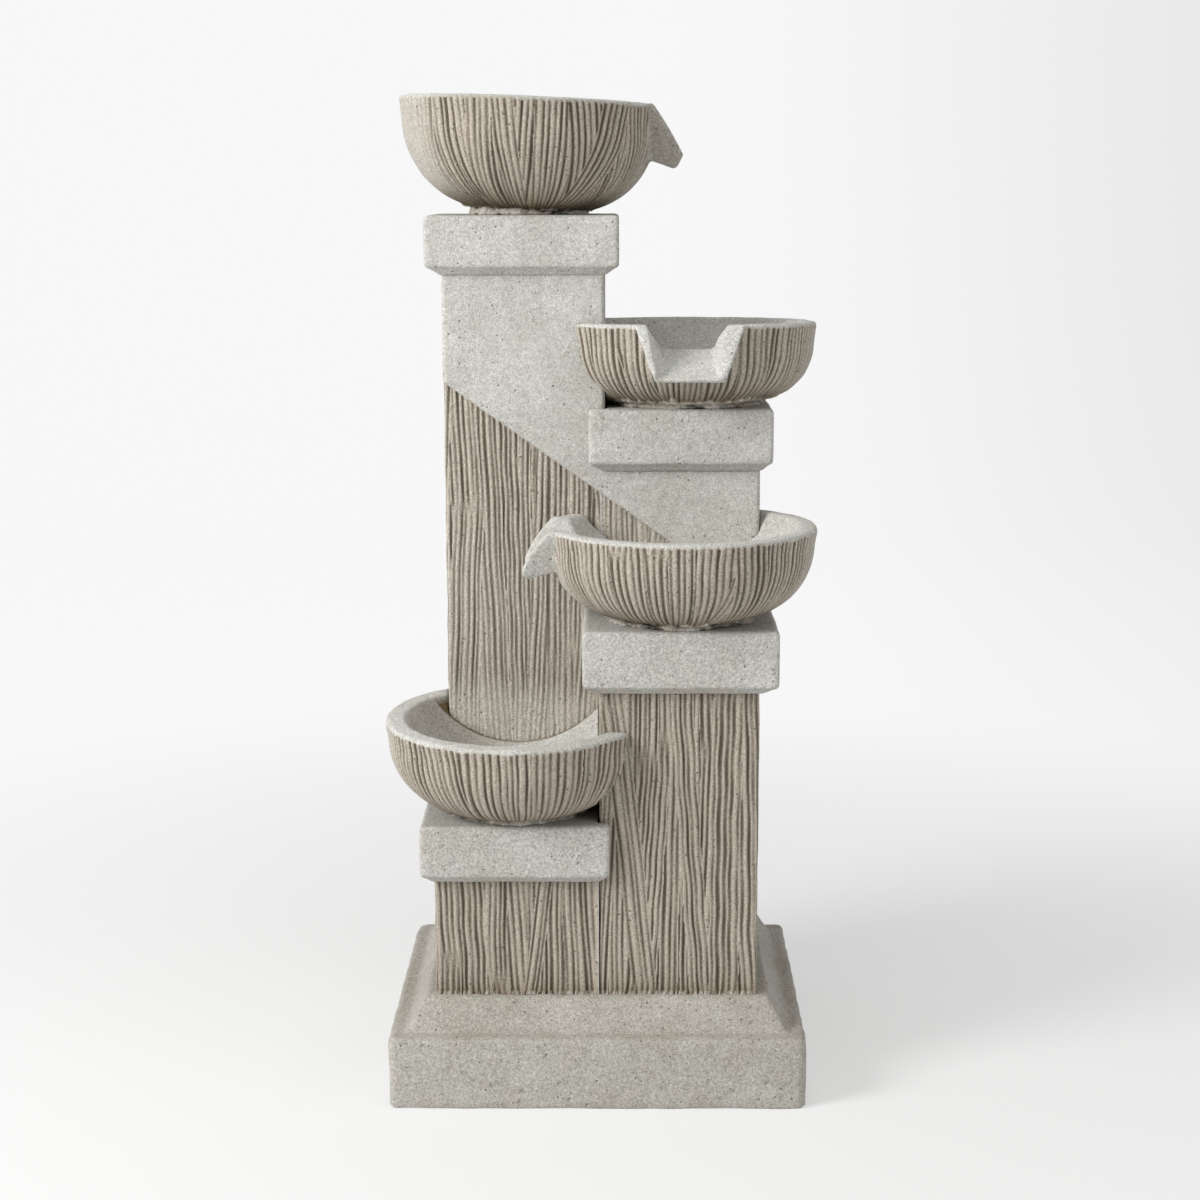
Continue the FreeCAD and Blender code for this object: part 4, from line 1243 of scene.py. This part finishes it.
    def fitting_hole(self) -> bpy.types.Object:
        """The hole for the fitting in the bowl's floor, with flat seats above and below it."""
        past = self.past_mm
        outline = np.array([
            (0.0, -past), (self.nut_mm, -past), (self.nut_mm, 0.0), (self.hole_mm, 0.0),
            (self.hole_mm, self.floor_mm), (self.seat_mm, self.floor_mm),
            (self.seat_mm, self.floor_mm + past), (0.0, self.floor_mm + past),
        ])
        return lathe(outline + np.array([0.0, self.middle[2]]), self.middle, 64)

    def neighbour(self, node: str) -> bpy.types.Object:
        """The space that a taller column takes, with the joint's gap added.

        Args:
            node: The column's CAD node.

        Returns:
            The space as one solid.
        """
        low, high = box_mm(node)
        front = low[1]
        if self.middle[1] < 0.0 and node == "tall_column":
            front += PanelEdge.rise_mm
        return block(
            (low[0] - self.gap_mm, front - self.gap_mm, low[2]), (high[0] + self.gap_mm, high[1], high[2])
        )

    def build(self, material: bpy.types.Material) -> None:
        """Model the bowl and dress it.

        Args:
            material: The finish of its faces.
        """
        origin = np.zeros(3)
        piece = lathe(self.outside(), origin, self.turn_steps)
        hollow = lathe(self.inside(), origin, self.turn_steps)
        if self.spout:
            combine(piece, self.spout_plates(), Join.ADD)
        combine(piece, hollow, Join.CUT)
        if self.spout:
            combine(piece, self.trough(), Join.CUT)
        move_points(piece, points_of(piece) @ self.dipped.T + self.middle)
        if self.hole_mm:
            combine(piece, self.fitting_hole(), Join.CUT)
        for node in self.walls:
            combine(piece, self.neighbour(node), Join.CUT)
        remesh(piece, self.voxel_mm)
        soften(piece, 2)
        self.refine(piece)
        self.comb(piece)
        node = self.tier + "_bowl"
        place(piece, material, node + "_casting", FOUNTAIN, "combed_stone", node)

    def skin(self, piece: bpy.types.Object) -> tuple[np.ndarray, np.ndarray, np.ndarray, np.ndarray]:
        """Where the bowl's turned outside lies.

        Args:
            piece: The bowl.

        Returns:
            For each corner: its share in the outside, its turn from the front in radians, its distance
            down the side from the rim and its distance from the axis.
        """
        local = (points_of(piece) - self.middle) @ np.linalg.inv(self.dipped).T
        normals = normals_of(piece) @ self.dipped
        radius = np.hypot(local[:, 0], local[:, 1])
        around = np.arctan2(local[:, 0], -local[:, 1])
        height = local[:, 2]
        from_knuckle = np.hypot(np.maximum(radius - self.foot, 0.0), height - self.knuckle)
        drop = np.clip((self.height_mm - height) / self.band_mm, 0.0, 1.0)
        band = np.abs(radius - self.radius_mm + self.lean_mm * drop)
        miss = np.where(height < self.knuckle, np.abs(from_knuckle - self.knuckle), band)
        outward = (normals[:, 0] * local[:, 0] + normals[:, 1] * local[:, 1]) / np.maximum(radius, 1.0)
        outward = outward - np.minimum(normals[:, 2], 0.0)
        upward = smoothstep(-normals[:, 2], -0.45, -0.2)
        share = smoothstep(-miss, -1.9, -0.9) * smoothstep(outward, 0.3, 0.6) * upward
        angle = np.arctan2(np.maximum(self.knuckle - height, 0.0), np.maximum(radius - self.foot, 1e-6))
        down = np.where(height < self.knuckle, self.band_mm + self.knuckle * angle, self.height_mm - height)
        return share, around, down, radius

    def refine(self, piece: bpy.types.Object) -> None:
        """Divide the faces of the combed front once more, so that the grooves come out clean.

        Args:
            piece: The smooth bowl.
        """
        share, around, _, _ = self.skin(piece)
        wanted = (share > 0.05) & (np.abs(np.degrees(around)) < self.refined_to)
        mesh = piece.data
        corners = np.empty(len(mesh.loops), dtype=int)
        mesh.loops.foreach_get("vertex_index", corners)
        starts = np.empty(len(mesh.polygons), dtype=int)
        mesh.polygons.foreach_get("loop_start", starts)
        chosen = np.logical_and.reduceat(wanted[corners], starts)
        make_active(piece)
        bpy.ops.object.mode_set(mode="EDIT")
        bpy.ops.mesh.select_mode(type="FACE")
        bpy.ops.mesh.select_all(action="DESELECT")
        bpy.ops.object.mode_set(mode="OBJECT")
        mesh.polygons.foreach_set("select", chosen)
        bpy.ops.object.mode_set(mode="EDIT")
        bpy.ops.mesh.subdivide(number_cuts=1)
        bpy.ops.mesh.select_mode(type="VERT")
        bpy.ops.object.mode_set(mode="OBJECT")
        soften(piece, 1)

    def comb(self, piece: bpy.types.Object) -> None:
        """Comb the bowl's outside along its meridians, up to the rim, and smear mortar round its foot.

        Args:
            piece: The smooth bowl.
        """
        points = points_of(piece)
        normals = normals_of(piece)
        share, around, down, radius = self.skin(piece)
        girth = np.column_stack([np.sin(around), np.cos(around), np.zeros(len(points))]) * self.radius_mm
        begin = self.comb_margin_mm + Waviness(self.seed + 3, 0.6, 8.0, 40.0).at(girth)
        share = share * np.clip((down - begin) / self.comb_start_mm, 0.0, 1.0)
        degrees = np.degrees(around)
        fade = 1.0
        for part, start, end in self.side_fades:
            fade = fade - part * smoothstep(np.abs(degrees), start, end)
        worn = smoothstep(-degrees, self.worn_from, self.worn_from + self.worn_over)
        fade = fade * (1.0 - self.worn_share * worn)
        strokes = CombPasses(
            self.seed, teeth=(4, 7), pitch_mm=(6.2, 8.0), sharpness=(1.6, 4.6), depth_mm=(1.3, 2.4),
            length_mm=(480.0, 800.0), lean=self.comb_lean, curve=0.0003, step_on=0.9, taper_mm=18.0,
        )
        across = around * self.radius_mm
        order = np.argsort(across, kind="stable")
        scale = np.clip(radius / self.radius_mm, 0.2, 1.0)
        grooves = np.empty(len(points))
        grooves[order] = strokes.depth(across[order], -down[order], scale[order])
        deepest = self.band_mm + self.knuckle * math.pi / 2
        ragged = Waviness(self.seed + 9, 7.0, 9.0, 60.0, 30).at(girth)
        smear = share * smoothstep(down + ragged, *(deepest - above for above in self.smear_mm))
        lumps = Waviness(self.seed + 11, 0.5, 5.0, 16.0, 40).at(points)
        grooves *= share * fade * (1.0 - smear)
        sway = np.abs(Waviness(self.seed + 5, 0.25, 30.0, 110.0).at(points))
        lift = smear * (1.0 + lumps) - grooves - sway
        move_points(piece, points + normals * lift[:, None])
        # Darker on the underside towards the foot: dirt and painted shade under the bowl
        foot = share * (1.0 - smear) * smoothstep(down, 0.5 * deepest, deepest)
        paint(
            piece,
            comb=np.clip(grooves / strokes.depth_mm[1], 0.0, 1.0),
            raked=share * (0.2 + 0.8 * fade),
            grime=self.foot_grime * foot + self.soiled_and_shaded * share + self.stains_and_shade(points, normals, radius, share),
            smear=smear,
        )

    def stains_and_shade(
        self, points: np.ndarray, normals: np.ndarray, radius: np.ndarray, share: np.ndarray
    ) -> np.ndarray:
        """Water stain and painted shade in the dish, and painted shade at its back joint and on the spout's
        plates.

        Args:
            points: The smooth bowl's corners in millimetres, one row each.
            normals: The outward directions at the corners.
            radius: Each corner's distance from the axis.
            share: Each corner's share in the combed outside.

        Returns:
            The strength of the stain and painted shade at each corner.
        """
        dished = smoothstep(self.radius_mm - self.wall_mm + 2.0 - radius, 0.0, 6.0)
        dished = dished * smoothstep(normals[:, 2], -0.3, 0.1)
        # Water stain and painted shade on the dish's faces turned to the right, away from the key light
        stain_and_shade = self.stained_and_shaded * dished * smoothstep(normals[:, 0], -0.1, 0.4)
        # Painted shade in the joint where the dish meets the tall column
        wall = box_mm("tall_column")[0][1]
        stain_and_shade = stain_and_shade + self.joint_grime * dished * smoothstep(points[:, 1], wall - 3.5, wall - 1.0)
        # Painted shade on the spout's side plates
        if self.spout:
            sideways = np.abs(normals @ self.turned([(0.0, 1.0, 0.0)])[0])
            beyond = smoothstep(radius, self.radius_mm - 8.0, self.radius_mm + 1.0)
            plate = beyond * smoothstep(sideways, 0.5, 0.8)
            stain_and_shade = stain_and_shade + self.plate_shade * plate * (1.0 - share)
        return stain_and_shade


@dataclass
class Fittings:
    """The pump, hose and fittings, which keep their CAD shapes and get their finishes."""

    finishes: tuple[tuple[Union[Moulding, RolledSteel], tuple[str, ...]], ...] = (
        (BLACK_PLASTIC, ("pump_housing", "pump_volute_cover", "pump_strainer_cover", "inlet_fitting",
                         "inlet_nut", "drain_bush", "drain_strainer")),
        (GREY_PLASTIC, ("pump_impeller", "pump_flow_dial")),
        (BLACK_RUBBER, ("cable_grommet", "pump_suction_feet", "inlet_gasket")),
        (CLEAR_HOSE, ("riser_hose",)),
        (STEEL, ("hose_clamps",)),
        (WHITE_CERAMIC, ("pump_shaft",)),
    )

    def dress(self) -> None:
        """Give each CAD node its finish."""
        for finish, nodes in self.finishes:
            material = finish.material()
            for node in nodes:
                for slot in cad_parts[node].material_slots:
                    slot.material = material
                log.info("%s: %s", node, material.name)


# The studio

@dataclass(frozen=True)
class AreaLight:
    """A soft box aimed at the fountain."""

    name: str
    place_m: tuple[float, float, float]
    aim_m: tuple[float, float, float]
    size_m: float
    power: float

    def build(self) -> None:
        """Hang the light."""
        bpy.ops.object.light_add(type="AREA", location=self.place_m)
        lamp = bpy.context.object
        lamp.name = self.name
        lamp.data.shape = "DISK"
        lamp.data.size = self.size_m
        lamp.data.energy = self.power
        way = Vector(self.aim_m) - Vector(self.place_m)
        lamp.rotation_mode = "QUATERNION"
        lamp.rotation_quaternion = way.to_track_quat("-Z", "Y")


@dataclass(frozen=True)
class StudioCamera:
    """The camera at the photograph's place, from the lines of the fountain in it."""

    lens_mm: float = 66.17
    sensor_mm: float = 36.0
    place_mm: tuple[float, float, float] = (24.9, -2263.9, 910.9)
    pitch: float = 0.1848
    yaw: float = -0.0099
    roll: float = -0.0028

    def build(self) -> None:
        """Set the camera up and make it the scene's."""
        level = math.cos(self.pitch)
        forward = Vector((math.sin(self.yaw) * level, math.cos(self.yaw) * level, -math.sin(self.pitch)))
        right = Vector((math.cos(self.yaw), -math.sin(self.yaw), 0.0))
        upward = right.cross(forward)
        rolled_right = right * math.cos(self.roll) + upward * math.sin(self.roll)
        rolled_up = upward * math.cos(self.roll) - right * math.sin(self.roll)
        bpy.ops.object.camera_add()
        camera = bpy.context.object
        camera.data.lens = self.lens_mm
        camera.data.sensor_width = self.sensor_mm
        camera.data.sensor_fit = "HORIZONTAL"
        turn = Matrix((rolled_right, rolled_up, -forward)).transposed().to_4x4()
        camera.matrix_world = Matrix.Translation(Vector(self.place_mm) * MM) @ turn
        bpy.context.scene.camera = camera


@dataclass
class Studio:
    """A pale seamless sweep, soft light from the upper left and the camera."""

    sweep: str = "#f9f9f9"
    shade: str = "#eaeaea"
    paper: str = "#e6e6e5"
    world: str = "#f6f6f6"
    world_strength: float = 0.43
    shadow_m: tuple[float, float] = (0.45, 1.7)
    pale_share: tuple[float, float] = (0.45, 0.97)
    shade_m: tuple[float, float] = (0.1, 2.2)
    half_width_m: float = 9.0
    front_m: float = -7.0
    bend_start_m: float = 3.4
    bend_radius_m: float = 1.6
    wall_height_m: float = 7.0
    bend_steps: int = 24
    lights: tuple[AreaLight, ...] = (
        AreaLight("key_light", (-2.6, -1.65, 2.0), (0.0, 0.0, 0.6), 1.5, 109.0),
        AreaLight("over_light", (0.0, -0.8, 3.2), (0.0, 0.0, 0.6), 1.6, 18.0),
        AreaLight("fill_light", (2.6, -1.6, 1.4), (0.0, 0.0, 0.6), 1.8, 16.0),
    )

    def build(self) -> None:
        """Set up the sweep, the world, the lights and the camera."""
        self.build_sweep()
        self.build_world()
        for light in self.lights:
            light.build()
        StudioCamera().build()
        bpy.context.scene.view_settings.view_transform = "Standard"

    def build_sweep(self) -> None:
        """Lay the floor that bends up into the backdrop."""
        turn = np.linspace(0.0, math.pi / 2, self.bend_steps + 1)
        along = np.concatenate([[self.front_m], self.bend_start_m + self.bend_radius_m * np.sin(turn)])
        up = np.concatenate([[0.0], self.bend_radius_m * (1 - np.cos(turn))])
        along = np.append(along, along[-1])
        up = np.append(up, self.wall_height_m)
        rows = [
            [(x / MM, y / MM, z / MM) for x in (-self.half_width_m, self.half_width_m)]
            for y, z in zip(along, up)
        ]
        piece = Column.sheet(np.array(rows))
        piece.name = "studio_sweep"
        make_active(piece)
        bpy.ops.object.shade_smooth()
        piece.data.materials.append(self.sweep_material())

    @staticmethod
    def seen(tree: bpy.types.NodeTree) -> bpy.types.NodeSocket:
        """The output that is 1 for what the camera sees, straight, mirrored or through glass."""
        path = add_node(tree, "ShaderNodeLightPath", {})
        straight = path.outputs["Is Camera Ray"]
        mirrored = calculate(tree, "MAXIMUM", straight, path.outputs["Is Glossy Ray"])
        return calculate(tree, "MAXIMUM", mirrored, path.outputs["Is Transmission Ray"])

    def sweep_material(self) -> bpy.types.Material:
        """Matt paper that takes the shadow near the fountain and stays pale away from it.

        Returns:
            The material.
        """
        material, tree, coordinates = new_material("paper_sweep_matt")
        parts = add_node(tree, "ShaderNodeSeparateXYZ", {0: coordinates})
        distance = add_node(tree, "ShaderNodeVectorMath", {0: coordinates}, operation="LENGTH")
        far = ramp_between(tree, distance.outputs["Value"], *self.shadow_m)
        share = spread(tree, far, 0.0, 1.0, *self.pale_share)
        share = calculate(tree, "MULTIPLY", share, self.seen(tree))
        # Painted shade: the backdrop's glow darkens towards the right, as the key light from the left falls
        # off
        sideways = ramp_between(tree, parts.outputs["X"], *self.shade_m)
        tone = mix_colours(tree, sideways, linear(self.sweep), linear(self.shade))
        paper = add_node(tree, "ShaderNodeBsdfDiffuse", {"Color": linear(self.paper)}).outputs[0]
        pale = add_node(tree, "ShaderNodeEmission", {"Color": tone, "Strength": 1.0}).outputs[0]
        both = add_node(tree, "ShaderNodeMixShader", {0: share, 1: paper, 2: pale}).outputs[0]
        add_node(tree, "ShaderNodeOutputMaterial", {"Surface": both})
        return material

    def build_world(self) -> None:
        """Light the scene evenly from all round."""
        world = bpy.data.worlds.new("studio_world")
        bpy.context.scene.world = world
        world.use_nodes = True
        tree = world.node_tree
        tree.nodes.clear()
        strength = spread(tree, self.seen(tree), 0.0, 1.0, self.world_strength, 1.0)
        glow = add_node(tree, "ShaderNodeBackground", {"Color": linear(self.world), "Strength": strength})
        add_node(tree, "ShaderNodeOutputWorld", {"Surface": glow.outputs[0]})


def main() -> None:
    """Build every piece of the fountain in order, then the studio."""
    logging.basicConfig(level=logging.INFO, format="%(message)s")
    stone = STONE.material()
    mortar = MORTAR.material()
    tiers = ("top", "second", "third", "lowest")

    # The plinth and the lower cap blocks are darkened: dirt and painted shade for light that falls off
    # towards the bottom
    Casting(
        "plinth", "plinth_casting", seed=11, pit_count=420, voxel_mm=3.0, soft_steps=4, wave_mm=0.35,
        soiled_and_shaded=0.25,
    ).build(stone)
    for number, (tier, soiled_and_shaded) in enumerate(zip(tiers, (0.02, 0.0, 0.02, 0.08))):
        node = tier + "_cap_block"
        Casting(node, node + "_casting", seed=21 + number, pit_count=160, soiled_and_shaded=soiled_and_shaded).build(stone)
    Casting(
        "access_door", "access_door_panel", seed=31, pit_count=40, voxel_mm=1.6, soft_steps=2, wave_mm=0.12,
        body="door",
    ).build(stone)

    combed, smooth, hidden = Face.COMBED, Face.SMOOTH, Face.HIDDEN
    tall_low, tall_high = box_mm("tall_column")
    panel = PanelEdge(tall_low[0])
    tall = Column(
        "tall_column", "tall_column_casting", (combed, combed, smooth, smooth), 41, panel, seam_mm=0.0,
        lime=((0.13, 600.0, 500.0), (0.5, 412.0, 366.0)),
    )
    cut_door_opening(tall.build(stone))
    gap = box_mm("rear_right_column")[0][0] - tall_high[0]
    Column(
        "rear_right_column", "rear_right_column_casting", (hidden, combed, combed, smooth), 43, panel,
        seam_mm=0.0, overlap_mm=gap + tall.corner_mm, lime=((0.2, 670.0, 560.0),),
    ).build(stone)
    for node, sides, seed in (
        ("front_right_column", (combed, combed, combed, hidden), 47),
        ("front_left_column", (combed, combed, hidden, hidden), 53),
    ):
        # The front columns are darker all over: painted shade for the light that falls off towards the bottom
        Column(node, node + "_casting", sides, seed, soiled_and_shaded=0.15).build(stone)

    Bowl(
        "top", seed=61, radius_mm=134.0, height_mm=112.0, band_mm=24.0, walls=(),
        spout=Spout(turn=0.0, reach_mm=25.0, drop_mm=50.0, lip_mm=14.0, sill_mm=57.0, bulge_mm=1.0),
        dip=2.35, hole_mm=12.5, seat_mm=22.5, nut_mm=21.1, comb_lean=0.13, worn_from=38.0, soiled_and_shaded=0.18,
        plate_shade=0.4, voxel_mm=2.25,
    ).build(stone)
    Bowl(
        "second", seed=67, radius_mm=136.5, height_mm=81.5, band_mm=24.5, walls=("tall_column",),
        spout=Spout(turn=-90.0, reach_mm=20.5, drop_mm=50.0, lip_mm=7.0, sill_mm=54.0, bulge_mm=2.0),
        dip=1.5, dip_turn=90.0,
    ).build(stone)
    Bowl(
        "third", seed=71, radius_mm=136.5, height_mm=91.0, band_mm=18.5,
        walls=("tall_column", "rear_right_column"),
        spout=Spout(turn=180.0, reach_mm=23.5, drop_mm=43.0, lip_mm=9.0, sill_mm=47.0, bulge_mm=3.5),
        voxel_mm=2.15,
    ).build(stone)
    Bowl(
        "lowest", seed=75, radius_mm=133.0, height_mm=92.0, band_mm=18.5,
        walls=("tall_column", "front_right_column"), dip=2.0, dip_turn=-90.0,
        hole_mm=15.5, seat_mm=25.5, nut_mm=15.5, wall_mm=22.0, joint_grime=0.9, comb_lean=0.04, soiled_and_shaded=0.16,
    ).build(stone)
    for number, (tier, grown) in enumerate(zip(tiers, (0.0, 0.0, 0.0, 4.0))):
        node = tier + "_mortar_bed"
        MortarBed(node, node + "_bead", 81 + 2 * number, grown).build(mortar)

    Fittings().dress()
    Studio().build()


if __name__ == "__main__":
    main()
